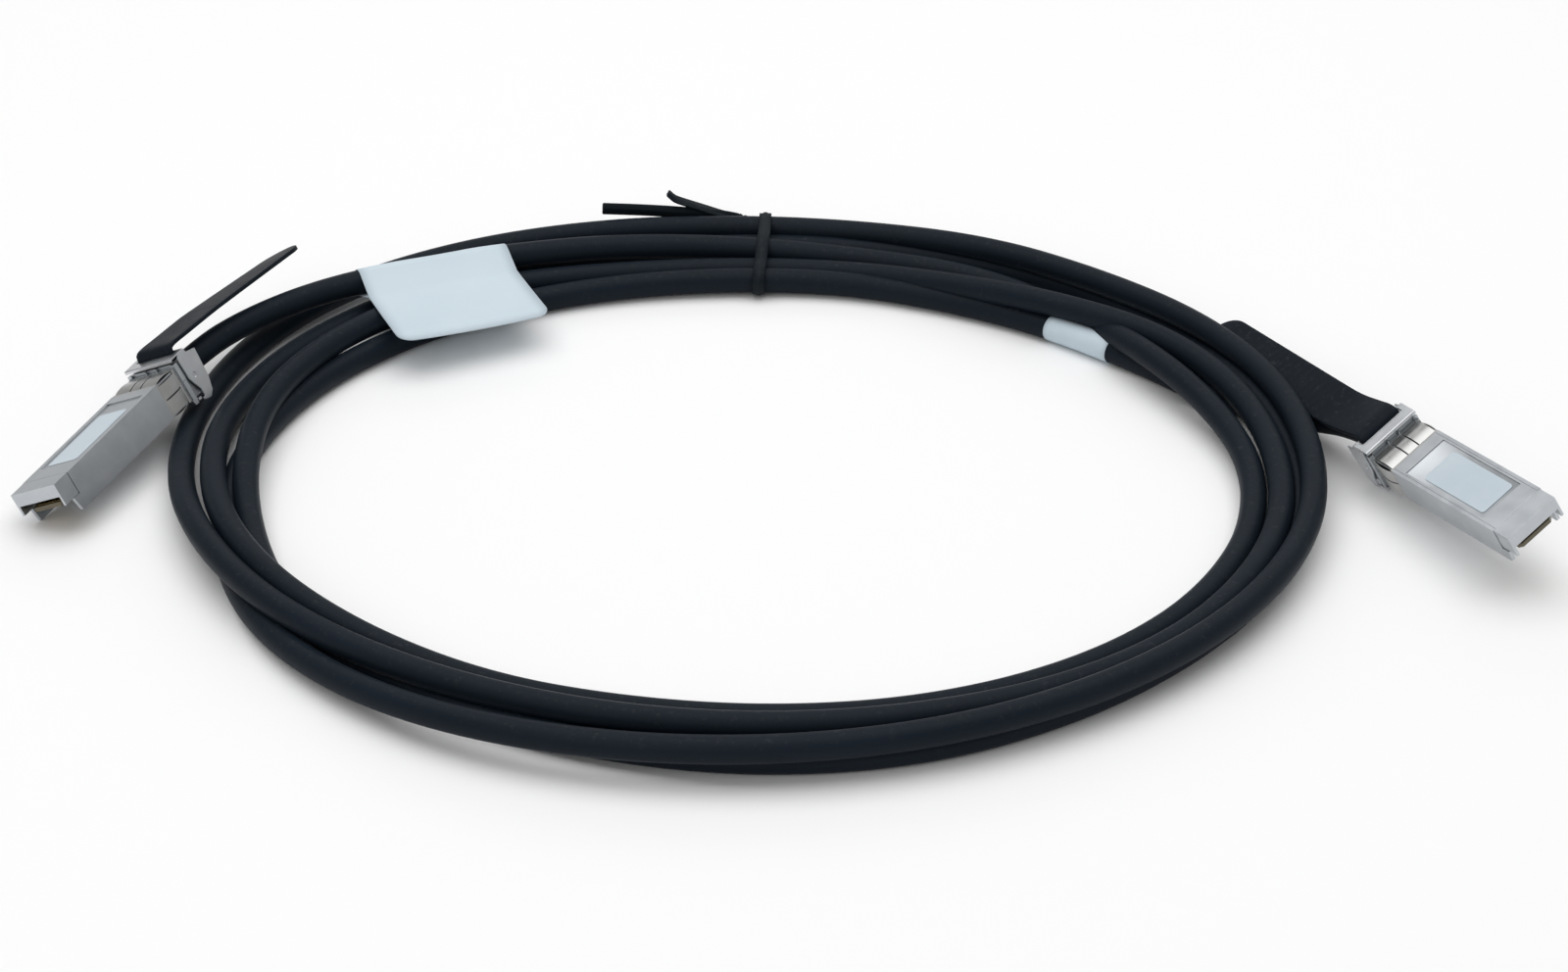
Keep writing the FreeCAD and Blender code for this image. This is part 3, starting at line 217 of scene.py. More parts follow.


# A surface whose colour and roughness drift between two values, with grain, scratches and dust, and
# for some finishes painted shade in gaps and inner corners.
def makeSurface(name, ownFinish):
    finish = {**plainFinish, **ownFinish}
    material = bpy.data.materials.new(name)
    material.use_nodes = True
    tree = material.node_tree
    tree.nodes.clear()
    out = addNode(tree, "ShaderNodeOutputMaterial", (900, 0))
    shader = addNode(tree, "ShaderNodeBsdfPrincipled", (600, 0))
    setInputs(shader, {"Metallic": finish["metal"], "IOR": 1.5})
    if "specular" in finish:
        setInputs(shader, {"Specular IOR Level": finish["specular"]})
    if "coat" in finish:
        setInputs(shader, {"Coat Weight": finish["coat"], "Coat Roughness": finish["coatRoughness"]})
    drift = addGroup(tree, blotches, (-500, 200),
                     {"Size": finish["driftSize"], "Contrast": finish["driftContrast"]})
    marks = addGroup(tree, scratches, (-500, -50),
                     {"Size": finish["scratchSize"], "Stretch": finish["scratchStretch"],
                      "Width": finish["scratchWidth"]})
    dust = addGroup(tree, settledDust, (-500, -300), {"Amount": finish["dust"]})
    grain = addGroup(tree, fineGrain, (200, -400),
                     {"Size": finish["grainSize"], "Stretch": finish["grainStretch"],
                      "Depth": finish["grain"]})
    markLevel = addNode(tree, "ShaderNodeMath", (-250, -50), operation="MULTIPLY")
    setInputs(markLevel, {1: finish["marks"]})
    colour = addNode(tree, "ShaderNodeMix", (-100, 250), data_type="RGBA")
    setInputs(colour, {"A": (*finish["colour"], 1.0), "B": (*finish["colourTwo"], 1.0)})
    marked = addNode(tree, "ShaderNodeMix", (100, 200), data_type="RGBA")
    setInputs(marked, {"B": (*finish["markColour"], 1.0)})
    dusty = addNode(tree, "ShaderNodeMix", (300, 150), data_type="RGBA")
    setInputs(dusty, {"B": (*finish["dustColour"], 1.0)})
    rough = addNode(tree, "ShaderNodeMapRange", (-100, -150))
    setInputs(rough, {"To Min": finish["roughness"][0], "To Max": finish["roughness"][1]})
    rougher = addNode(tree, "ShaderNodeMath", (200, -150), operation="MULTIPLY_ADD")
    setInputs(rougher, {1: finish["markRoughness"]})
    joinNodes(tree, [
        (drift, "Mask", colour, "Factor"), (marks, "Mask", markLevel, 0),
        (markLevel, 0, marked, "Factor"), (colour, "Result", marked, "A"),
        (dust, "Mask", dusty, "Factor"), (marked, "Result", dusty, "A"),
        (drift, "Mask", rough, "Value"), (markLevel, 0, rougher, 0), (rough, "Result", rougher, 2),
        (rougher, 0, shader, "Roughness"), (grain, "Normal", shader, "Normal"),
        (shader, "BSDF", out, "Surface")])
    shown = dusty
    if "paintedCreviceShade" in finish:  # painted shade: an occlusion test darkens the base colour in narrow gaps and inner corners
        shadeProbe = addNode(tree, "ShaderNodeAmbientOcclusion", (100, 420), samples=8)
        setInputs(shadeProbe, {"Distance": finish["paintedShadeReach"]})
        paintedShadeLevel = addNode(tree, "ShaderNodeMapRange", (300, 420))
        setInputs(paintedShadeLevel, {"From Min": finish["paintedShadeRange"][0],
                          "From Max": finish["paintedShadeRange"][1],
                          "To Min": 1.0 - finish["paintedCreviceShade"], "To Max": 1.0})
        shown = addNode(tree, "ShaderNodeMix", (450, 300), data_type="RGBA", blend_type="MULTIPLY")
        setInputs(shown, {"Factor": 1.0})
        joinNodes(tree, [(shadeProbe, "AO", paintedShadeLevel, "Value"), (dusty, "Result", shown, "A"),
                         (paintedShadeLevel, "Result", shown, "B")])
    joinNodes(tree, [(shown, "Result", shader, "Base Color")])
    return material


# The nickel, sheetSteel and springSheet finishes carry painted shade: an amount that darkens their
# gaps and inner corners.
finishes = {
    "nickel": {
        "colour": (0.47, 0.495, 0.52), "colourTwo": (0.55, 0.575, 0.60), "metal": 1.0,
        "roughness": (0.3, 0.42), "markColour": (0.68, 0.7, 0.72), "paintedCreviceShade": 0.8,
        "grain": 0.07, "grainSize": 3200.0, "driftSize": 220.0, "dust": 0.05},
    "sheetSteel": {
        "colour": (0.58, 0.60, 0.62), "colourTwo": (0.66, 0.68, 0.70), "metal": 1.0,
        "roughness": (0.26, 0.36), "markColour": (0.8, 0.8, 0.78), "paintedCreviceShade": 0.75,
        "grain": 0.035, "grainSize": 1500.0, "grainStretch": (1.0, 0.12, 1.0),
        "driftSize": 260.0, "dust": 0.05},
    "springSheet": {
        "colour": (0.46, 0.46, 0.45), "colourTwo": (0.54, 0.54, 0.53), "metal": 1.0,
        "roughness": (0.26, 0.36), "markColour": (0.8, 0.79, 0.77), "paintedCreviceShade": 0.75,
        "grain": 0.03, "driftSize": 300.0, "dust": 0.04},
    "crimpSleeve": {
        "colour": (0.42, 0.41, 0.39), "colourTwo": (0.52, 0.51, 0.48), "metal": 1.0,
        "roughness": (0.3, 0.42), "markColour": (0.62, 0.61, 0.58),
        "grain": 0.15, "driftSize": 300.0, "dust": 0.05},
    "cardMask": {
        "colour": (0.085, 0.068, 0.03), "colourTwo": (0.11, 0.085, 0.038),
        "roughness": (0.3, 0.42), "markColour": (0.18, 0.14, 0.08), "marks": 0.15,
        "grain": 0.2, "grainSize": 4000.0, "coat": 0.4, "coatRoughness": 0.2},
    "goldPlate": {
        "colour": (0.78, 0.55, 0.2), "colourTwo": (0.86, 0.64, 0.27), "metal": 1.0,
        "roughness": (0.2, 0.3), "markColour": (0.95, 0.8, 0.5), "marks": 0.25,
        "grain": 0.06, "driftSize": 500.0, "dust": 0.0},
    "chipResin": {
        "colour": (0.012, 0.012, 0.013), "colourTwo": (0.02, 0.02, 0.021),
        "roughness": (0.5, 0.65), "markColour": (0.05, 0.05, 0.05), "grain": 0.3},
    "pottingGlue": {
        "colour": (0.6, 0.57, 0.46), "colourTwo": (0.68, 0.65, 0.55),
        "roughness": (0.22, 0.4), "markColour": (0.75, 0.72, 0.62), "marks": 0.1,
        "grain": 0.3, "grainSize": 900.0},
    "wireFoil": {
        "colour": (0.58, 0.6, 0.63), "colourTwo": (0.66, 0.68, 0.7), "metal": 0.9,
        "roughness": (0.25, 0.4), "markColour": (0.8, 0.8, 0.8),
        "grain": 0.5, "grainSize": 1200.0},
    "jacketPlastic": {
        "colour": (0.0068, 0.0112, 0.0172), "colourTwo": (0.0085, 0.0136, 0.0205),
        "specular": 0.08, "roughness": (0.42, 0.5), "markColour": (0.035, 0.04, 0.048),
        "marks": 0.25, "scratchSize": 260.0, "scratchStretch": (1.0, 1.0, 0.3),
        "scratchWidth": 0.006, "grain": 0.16, "grainSize": 1300.0, "driftSize": 30.0,
        "dust": 0.06},
    "tabPlastic": {
        "colour": (0.006, 0.0095, 0.0145), "colourTwo": (0.008, 0.0118, 0.0175),
        "specular": 0.07, "roughness": (0.44, 0.54), "markColour": (0.05, 0.053, 0.06),
        "grain": 0.35, "grainSize": 2600.0, "driftSize": 120.0},
    "tiePlastic": {
        "colour": (0.0055, 0.0095, 0.013), "colourTwo": (0.0075, 0.012, 0.016),
        "specular": 0.1, "roughness": (0.42, 0.55), "markColour": (0.06, 0.06, 0.065),
        "marks": 0.35, "grain": 0.4, "grainSize": 1800.0, "dust": 0.08},
    "stickerFilm": {
        "colour": (0.50, 0.58, 0.64), "colourTwo": (0.55, 0.62, 0.67), "specular": 0.3,
        "roughness": (0.34, 0.45), "markColour": (0.6, 0.64, 0.66), "marks": 0.12,
        "grain": 0.08, "grainSize": 2400.0, "driftSize": 90.0, "dust": 0.03},
    "flagFilm": {
        "colour": (0.55, 0.645, 0.71), "colourTwo": (0.59, 0.68, 0.74), "specular": 0.3,
        "roughness": (0.42, 0.55), "markColour": (0.62, 0.66, 0.68), "marks": 0.1,
        "grain": 0.12, "grainSize": 1600.0, "dust": 0.03},
}
surfaces = {name: makeSurface(name, finish) for name, finish in finishes.items()}
print("surfaces made: %d" % len(surfaces))


# Makes an object of a bmesh that is in millimetres, at a place in metres, and rides it on its body.
def storePiece(name, bm, surface, body, replaced, place=Matrix()):
    bmesh.ops.scale(bm, vec=(mm, mm, mm), verts=bm.verts[:])
    bmesh.ops.transform(bm, matrix=place, verts=bm.verts[:])
    mesh = bpy.data.meshes.new(name)
    bm.to_mesh(mesh)
    bm.free()
    mesh.materials.append(surfaces[surface])
    for polygon in mesh.polygons:
        polygon.use_smooth = True
    piece = bpy.data.objects.new(name, mesh)
    scene.collection.objects.link(piece)
    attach(piece, body)
    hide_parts(replaced)
    return piece


# A flat slab along X, centred on Y, standing on z = 0, with rounded corners at its two ends.
def roundedSlab(length, width, thickness, farRadius, nearRadius, segments):
    bm = bmesh.new()
    bmesh.ops.create_grid(bm, x_segments=1, y_segments=1, size=0.5)
    for vert in bm.verts:
        vert.co = Vector(((vert.co.x + 0.5) * length, vert.co.y * width, 0))
    for radius, isEnd in ((farRadius, lambda v: v.co.x > length / 2),
                          (nearRadius, lambda v: v.co.x < length / 2)):
        if radius > 0:
            corners = [v for v in bm.verts
                       if isEnd(v) and abs(abs(v.co.y) - width / 2) < tolerance]
            bmesh.ops.bevel(bm, geom=corners, affect="VERTICES", offset=radius,
                            offset_type="OFFSET", segments=segments, profile=0.5, material=-1)
    top = bmesh.ops.extrude_face_region(bm, geom=bm.faces[:])
    raised = [item for item in top["geom"] if isinstance(item, bmesh.types.BMVert)]
    bmesh.ops.translate(bm, verts=raised, vec=(0, 0, thickness))
    bmesh.ops.recalc_face_normals(bm, faces=bm.faces[:])
    return bm


# Cuts edges across a slab at places along one axis, so that it can bend there.
def cutAcross(bm, axis, places):
    normal = Vector((0, 0, 0))
    normal[axis] = 1
    for place in places:
        bmesh.ops.bisect_plane(bm, geom=bm.verts[:] + bm.edges[:] + bm.faces[:], dist=1e-7,
                               plane_co=normal * place, plane_no=normal)


# An open curve that is smooth between its control points.
def newCurve(name, points, steps):
    curve = bpy.data.curves.new(name, "CURVE")
    curve.dimensions = "3D"
    curve.resolution_u = steps
    spline = curve.splines.new("NURBS")
    spline.points.add(len(points) - 1)
    for knot, point in zip(spline.points, points):
        knot.co = (*point, 1.0)
    spline.order_u = 3
    spline.use_endpoint_u = True
    piece = bpy.data.objects.new(name, curve)
    scene.collection.objects.link(piece)
    return piece


# Points along the smooth line that is drawn through a few control points.
def smoothLine(points, steps):
    guide = newCurve("guide", points, steps)
    curve = guide.data
    bpy.context.view_layer.update()
    drawn = guide.evaluated_get(bpy.context.evaluated_depsgraph_get())
    mesh = bpy.data.meshes.new_from_object(drawn)
    line = [v.co.copy() for v in mesh.vertices]
    bpy.data.meshes.remove(mesh)
    bpy.data.objects.remove(guide)
    bpy.data.curves.remove(curve)
    return line


# Place and direction at a distance along a line of points.
def alongLine(line, distance):
    walked = 0.0
    for first, second in zip(line, line[1:]):
        step = (second - first).length
        if walked + step >= distance or second is line[-1]:
            direction = (second - first) / step
            return first + (second - first) * ((distance - walked) / step), direction
        walked += step


# Distance along a line to where it passes nearest to a point.
def nearestAlong(line, point):
    walked, best, found = 0.0, math.inf, 0.0
    for first, second in zip(line, line[1:]):
        if (first - point).length < best:
            best, found = (first - point).length, walked
        walked += (second - first).length
    return found


def lineLength(line):
    return sum((second - first).length for first, second in zip(line, line[1:]))


# Lays a slab along a line: its X runs along the line, its Y across and its Z away from it.
def bendAlong(bm, line, sideAt, liftAt):
    for vert in bm.verts:
        run, across, up = vert.co
        place, direction = alongLine(line, run)
        side = sideAt(run)
        side = (side - direction * side.dot(direction)).normalized()
        normal = direction.cross(side)
        vert.co = place + side * across + normal * (up + liftAt(run))
    bmesh.ops.recalc_face_normals(bm, faces=bm.faces[:])


# Where the plugs lie, in millimetres and degrees.
plugs = {
    "left": {"at": (-150.64, -34.95, 2.75), "yaw": 65.8, "rise": 4.5, "roll": -26.8},
    "right": {"at": (156.23, -58.06, 11.63), "yaw": 117.5, "rise": -6.9, "roll": -29.3},
}


def plugMatrix(side):
    plug = plugs[side]
    turn = (Matrix.Rotation(math.radians(plug["yaw"]), 4, "Z")
            @ Matrix.Rotation(math.radians(-plug["rise"]), 4, "Y")
            @ Matrix.Rotation(math.radians(plug["roll"]), 4, "X"))
    return Matrix.Translation(Vector(plug["at"]) * mm) @ turn


def inPlug(side, along, across, up):
    return plugMatrix(side) @ (Vector((along, across, up)) * mm)


cable = {
    "radius": 2.85,
    "length": 3.0,  # metres
    "exit": (49.6, 0.0, 4.7),
    "centre": (-5.70, -12.90),
    "half": (120.1, 107.6),
    "step": 15,
    "smoothness": 10,
    "roundness": 6,
    "leftStraight": 63.6,
    "leftLead": [(-118.0, 37.2, 11.6), (-106.2, 50.0, 10.9), (-92.2, 60.5, 9.9),
                 (-77.2, 66.8, 9.4)],
    "rightStraight": 62.6,
    "rightLead": [(94.0, 20.5, 3.0), (106.0, 12.5, 2.9), (117.0, 7.5, 3.6)],
    # angle clockwise from the back, how far inside the oval of those halves, and height
    "turns": [
        (-32, 8.1, 9.2), (0, 12.2, 5.8), (11, 14.2, 5.5), (17, 13.2, 4.9), (24, 10.8, 4),
        (31, 10, 3.3), (43, 13.5, 2.9), (58, 20.6, 8.2), (66, 20.4, 7.9), (76, 17.2, 6.4),
        (84, 14.2, 4.8), (95, 12.5, 2.95), (137, 11, 2.85), (159, 11.9, 2.85), (178, 13.8, 2.85),
        (197, 15, 2.85), (208, 13.8, 3.2), (221, 11.8, 5.2), (233, 9.9, 7.2), (246, 8, 7.7),
        (264, 6.9, 7.7), (270, 6.6, 6.2), (278, 5.3, 4.5), (288, 3.2, 2.95), (300, 2.9, 2.9),
        (308, 2.7, 2.9), (320, 3.8, 2.95), (340, 5.2, 3.2), (360, 6.4, 3.55), (376, 4.4, 3),
        (390, 2.2, 2.85), (400, 2.4, 2.85), (412, 4.3, 2.85), (425, 4.6, 3.3), (436, 4.2, 5),
        (444, 3.7, 4), (454, 3, 2.85), (497, 2.7, 2.85), (522, -1, 2.85), (540, -0.4, 2.85),
        (555, 2.2, 2.85), (580, 6.5, 2.85), (603, 11.3, 2.85), (612, 13.1, 2.9), (620, 14, 3.6),
        (629, 13.6, 6), (636, 12.9, 7.4), (645, 12.6, 7.7), (657, 12.6, 7.5), (667, 11.6, 6.8),
        (680, 12.4, 5.6), (692, 14.4, 4.4), (704, 16.8, 3.5), (720, 18.2, 3.5), (731, 18.1, 3.7),
        (738, 19, 4.4), (746, 20.8, 6), (756, 22.6, 7.9), (764, 21, 9.2), (770, 16.5, 8.8),
        (776, 13.9, 8.5), (782, 12.5, 7.8), (788, 10.9, 7.8), (798, 9.7, 7.6), (808, 8.4, 6.6),
        (818, 6.5, 5.5), (860, 4.2, 5), (880, 6, 5.5), (900, 6.8, 6), (915, 6.2, 7),
        (932, 5.6, 7.7), (950, 4.5, 7.7), (963, 2.9, 7.7), (973, 1.8, 7.4), (982, 0.6, 5.8),
        (990, -0.6, 4), (1001, -3.1, 2.9), (1009, -4.3, 2.9), (1015, -5.8, 2.9),
        (1020, -7.4, 2.9), (1026, -8.9, 3), (1032, -9.1, 3.4), (1038, -8.6, 3.8),
        (1045, -7.2, 4.2), (1052, -5.4, 4.7), (1060, -3.4, 5), (1070, -1, 5.5), (1080, 1.5, 5.8),
        (1093, 2.3, 6.2), (1107, 2.4, 7.2), (1120, 3.6, 7.5), (1126, 4, 7.7), (1133, 3.6, 8),
        (1142, 2.4, 8.6), (1150, 1.7, 8.6), (1160, 1.8, 8.6), (1168, 1.2, 8.3), (1179, 0.1, 7.4),
        (1194, -0.4, 7.4), (1208, -0.5, 7.4), (1223, -1.1, 7.4), (1242, -2.8, 7.7),
        (1259, -3.7, 7.7), (1273, -4.5, 7.7), (1288, -4, 6.6), (1300, -1.7, 4.6),
        (1310, 0.5, 3.2), (1318, 2.5, 2.85), (1335, 8, 2.85), (1353, 12.4, 2.85),
        (1367, 14.3, 2.85), (1382, 16.2, 2.85), (1391, 17.8, 2.85), (1415, 21.2, 3),
        (1440, 23.2, 3.6), (1453, 21.8, 3.1), (1460, 22.4, 3.1), (1474, 22.6, 3.1),
        (1483, 21.4, 3.1), (1498, 18.8, 3.1), (1512, 15, 3.1),
    ],
}


# A point of the winding: inset and height go in straight lines between the stations.
def turnPoint(angle):
    for before, after in zip(cable["turns"], cable["turns"][1:]):
        if angle <= after[0]:
            share = (angle - before[0]) / (after[0] - before[0])
            inset = before[1] + (after[1] - before[1]) * share
            height = before[2] + (after[2] - before[2]) * share
            break
    reach = 1 / math.cos(math.radians(cable["step"] / 2))  # the line cuts inside its points
    turn = math.radians(angle)
    across = (cable["half"][0] - inset) * reach * math.sin(turn)
    back = (cable["half"][1] - inset) * reach * math.cos(turn)
    return Vector((cable["centre"][0] + across, cable["centre"][1] + back, height)) * mm


# The whole route, from the left plug round the coil to the right plug.
def cableRoute():
    up = cable["exit"][2]
    route = [inPlug("left", *cable["exit"]), inPlug("left", cable["leftStraight"], 0, up)]
    route += [Vector(point) * mm for point in cable["leftLead"]]
    route += [turnPoint(angle)
              for angle in range(cable["turns"][0][0], cable["turns"][-1][0], cable["step"])]
    route += [Vector(point) * mm for point in cable["rightLead"]]
    route += [inPlug("right", cable["rightStraight"], 0, up), inPlug("right", *cable["exit"])]
    return route


def makeCable(route):
    piece = newCurve("woundCable", route, cable["smoothness"])
    piece.data.bevel_depth = cable["radius"] * mm
    piece.data.bevel_resolution = cable["roundness"]
    piece.data.use_fill_caps = True
    piece.data.materials.append(surfaces["jacketPlastic"])
    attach(piece, "cable")
    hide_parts("cable_coil", "left_cable_lead", "right_cable_lead")
    return piece


cablePoints = cableRoute()
woundCable = makeCable(cablePoints)
cableLine = smoothLine(cablePoints, cable["smoothness"])
print("cable laid, %.3f m" % lineLength(cableLine))


tab = {
    "width": 10.4,
    "thickness": 0.9,
    "root": 50.75,
    "beadLow": 8.8,
    "bead": 0.45,
    "beadRun": 0.9,
    "beadHeight": 1.6,
    "lean": 0.1,
    "shoulderDrop": 0.2,
    "shoulderRun": 2.2,
    "slopeRun": 6.0,
    "hair": 0.01,
    "rise": {"left": 12.0, "right": 11.1},
    "bend": {"left": 11.5, "right": 8.4},
    "bendAt": 68.0,
    "bendReach": 3.0,
    "neckCut": 0.7,
    "droop": {"left": 6.5, "right": -3.0},
    "twist": {"left": -6.0, "right": 0.0},
    "leaf": {"left": 37.2, "right": 46.8},
    "tipSegments": 12,
    "ribs": 13,
    "ribStart": 3.0,
    "ribPitch": 2.1,
    "ribWidth": 1.0,
    "ribShares": (0.0, 0.28, 0.72, 1.0),
    "ribHeight": 0.04,
    "ribMargin": 1.2,
    "ribRamp": 0.3,
    "edge": 0.22,
    "edgeAngle": 60,
    "smoothness": 12,
}


# Middle line of the tab, in the plug's frame: up from the bead, over the neck and out.
def tabLine(side):
    root, low, rise = tab["root"], tab["beadLow"], tab["rise"][side]
    bendAt, reach, leaf = tab["bendAt"], tab["bendReach"], tab["leaf"][side]
    bend = tab["bend"][side] - tab["thickness"] / 2
    droop = math.radians(tab["droop"][side])
    neck = [(root, low), (root, low + tab["beadHeight"]),
            (root + tab["lean"], rise - tab["shoulderDrop"]), (root + tab["shoulderRun"], rise),
            (root + tab["slopeRun"], (rise * 2 + bend) / 3), (bendAt - reach, bend + tab["lean"]),
            (bendAt + reach, bend - reach * math.sin(droop)),
            (bendAt + leaf * math.cos(droop), bend - leaf * math.sin(droop))]
    line = smoothLine([(x * mm, 0, z * mm) for x, z in neck], tab["smoothness"])
    return [point / mm for point in line]


def makePullTab(side):
    half = tab["thickness"] / 2
    line = tabLine(side)
    length = lineLength(line)
    leafStart = length - tab["leaf"][side]
    tip = tab["width"] / 2 - tab["hair"]
    bm = roundedSlab(length, tab["width"], tab["thickness"], tip, 0.0, tab["tipSegments"])
    ribs = []
    for number in range(tab["ribs"]):
        start = leafStart + tab["ribStart"] + tab["ribPitch"] * number
        ribs.append([start + tab["ribWidth"] * share for share in tab["ribShares"]])
    ribReach = tab["width"] / 2 - tab["ribMargin"]
    ribTop = ribReach - tab["ribRamp"]
    neckCuts = range(2, int(leafStart / tab["neckCut"]) + 2)
    cutAcross(bm, 0, [tab["beadRun"]] + [step * tab["neckCut"] for step in neckCuts])
    cutAcross(bm, 0, [place for rib in ribs for place in rib])
    cutAcross(bm, 1, [-ribReach, -ribTop, ribTop, ribReach])
    for vert in bm.verts:
        run, across, up = vert.co
        onTop = up > half
        if onTop and abs(across) < ribTop + tab["ribRamp"] / 2:
            if any(rib[1] - tolerance < run < rib[2] + tolerance for rib in ribs):
                vert.co.z += tab["ribHeight"]
        if run < tab["beadRun"] - tab["hair"]:
            vert.co.z += tab["bead"] if onTop else -tab["bead"]
        vert.co.z -= half
    twist = math.radians(tab["twist"][side])

    def acrossTab(run):
        turned = twist * min(max((run - leafStart) / tab["leaf"][side], 0.0), 1.0)
        return Vector((0, math.cos(turned), math.sin(turned)))

    cutAcross(bm, 0, [length - tab["width"] / 2])
    bendAlong(bm, line, acrossTab, lambda run: 0.0)
    piece = storePiece("%sPullTab" % side, bm, "tabPlastic", "%s_tab" % side,
                       "%s_pull_tab" % side, plugMatrix(side))
    rounding = piece.modifiers.new("rounding", "BEVEL")
    rounding.limit_method = "ANGLE"
    rounding.angle_limit = math.radians(tab["edgeAngle"])
    rounding.width = tab["edge"] * mm
    rounding.segments = 3
    return piece


for side in sides:
    makePullTab(side)
print("pull tabs made")


# What the two flags share, then where each one sits and how far its leaf reaches.
flagFilm = {
    "sheet": 0.13,
    "radius": 3.0,
    "leafGap": 0.01,
    "ease": 1.5,
    "wrapSteps": 22,
    "leafSteps": 6,
    "alongSteps": 12,
    "cornerSegments": 6,
    "edgeMargin": 0.05,
    "bow": 0.6,
    "flatFrom": 4.0,
    "flatOver": 12.0,
}
flags = {
    "left": {"start": (-62.4, 73.5, 9.2), "sense": -1, "along": 36.0, "reach": 30.0,
             "towards": 293.7, "dip": 1.5, "meet": 7.4, "corner": 3.4, "curl": 0.5},
    "right": {"start": (62.6, 50.4, 2.85), "sense": 1, "along": 17.0, "reach": 10.5,
              "towards": 42.0, "dip": 12.0, "meet": 6.6, "corner": 0.6, "curl": 0.0},
}


# The folded sheet: in along the upper leaf, round the cable and out along the lower leaf.
def foldLine(flag):
    gap = flagFilm["sheet"] / 2 + flagFilm["leafGap"]
    touch = math.acos(flagFilm["radius"] / flag["meet"])
    leaf = [Vector((flag["reach"], gap, 0)), Vector((flag["meet"] + flagFilm["ease"], gap, 0)),
            Vector((flag["meet"], gap * 2, 0))]
    wrap = []
    for step in range(flagFilm["wrapSteps"] + 1):
        angle = touch + (2 * math.pi - 2 * touch) * step / flagFilm["wrapSteps"]
        wrap.append(Vector((math.cos(angle), math.sin(angle), 0)) * flagFilm["radius"])
    return leaf + wrap + [Vector((point.x, -point.y, 0)) for point in reversed(leaf)]


# A slab with cuts at every corner of the fold, along its flat leaves and across it.
def flagSlab(flag, fold):
    total = lineLength(fold)
    bm = roundedSlab(total, flag["along"], flagFilm["sheet"], flag["corner"], flag["corner"],
                     flagFilm["cornerSegments"])
    walked, places = 0.0, []
    for first, second in zip(fold, fold[1:]):
        walked += (second - first).length
        places.append(walked)
    flat = flag["reach"] - flag["meet"] - flagFilm["ease"]
    steps = flagFilm["leafSteps"]
    places += [flat * step / steps for step in range(1, steps)]
    places += [total - flat * step / steps for step in range(1, steps)]
    margin = flagFilm["edgeMargin"]
    cutAcross(bm, 0, [place for place in places if margin < place < total - margin])
    steps = flagFilm["alongSteps"]
    cutAcross(bm, 1, [flag["along"] * (step / steps - 0.5) for step in range(1, steps)])
    return bm


def makeFlag(side):
    flag = flags[side]
    fold = foldLine(flag)
    bm = flagSlab(flag, fold)
    start = nearestAlong(cableLine, Vector(flag["start"]) * mm) / mm

    def onCable(reach):
        place, heading = alongLine(cableLine, (start + flag["sense"] * reach) * mm)
        return place / mm, heading

    outward = (Matrix.Rotation(math.radians(flag["towards"]), 3, "Z")
               @ Matrix.Rotation(math.radians(flag["dip"]), 3, "Y"))
    out = outward @ Vector((1, 0, 0))
    ends = [onCable(0.0)[0], onCable(flag["along"])[0]]
    bow = onCable(flag["along"] / 2)[0] - (ends[0] + ends[1]) / 2
    for vert in bm.verts:
        run, across, up = vert.co
        share = across / flag["along"] + 0.5
        place, direction = alongLine(fold, run)
        throughSheet = Vector((-direction.y, direction.x, 0))
        sheet = place + throughSheet * (flagFilm["sheet"] / 2 - up)
        centre, heading = onCable(share * flag["along"])
        chord = ends[0] + (ends[1] - ends[0]) * share + bow * flagFilm["bow"]
        flatness = min(max((sheet.x - flagFilm["flatFrom"]) / flagFilm["flatOver"], 0.0), 1.0)
        flatness = flatness * flatness * (3 - 2 * flatness)
        centre = centre.lerp(chord, flatness)
        straight = (ends[1] - ends[0]).normalized() * flag["sense"]
        heading = heading.lerp(straight, flatness).normalized()
        upward = out.cross(heading).normalized()
        if upward.z < 0:
            upward = -upward
        lift = flag["curl"] * (2 * share - 1) ** 2 * (max(sheet.x, 0.0) / flag["reach"]) ** 2
        vert.co = centre + out * sheet.x + upward * (sheet.y + lift)
    bmesh.ops.recalc_face_normals(bm, faces=bm.faces[:])
    return storePiece("%sFlagLabel" % side, bm, "flagFilm", "cable",
                      "%s_flag_label" % side)


flagLabels = [makeFlag(side) for side in sides]
print("flags folded")


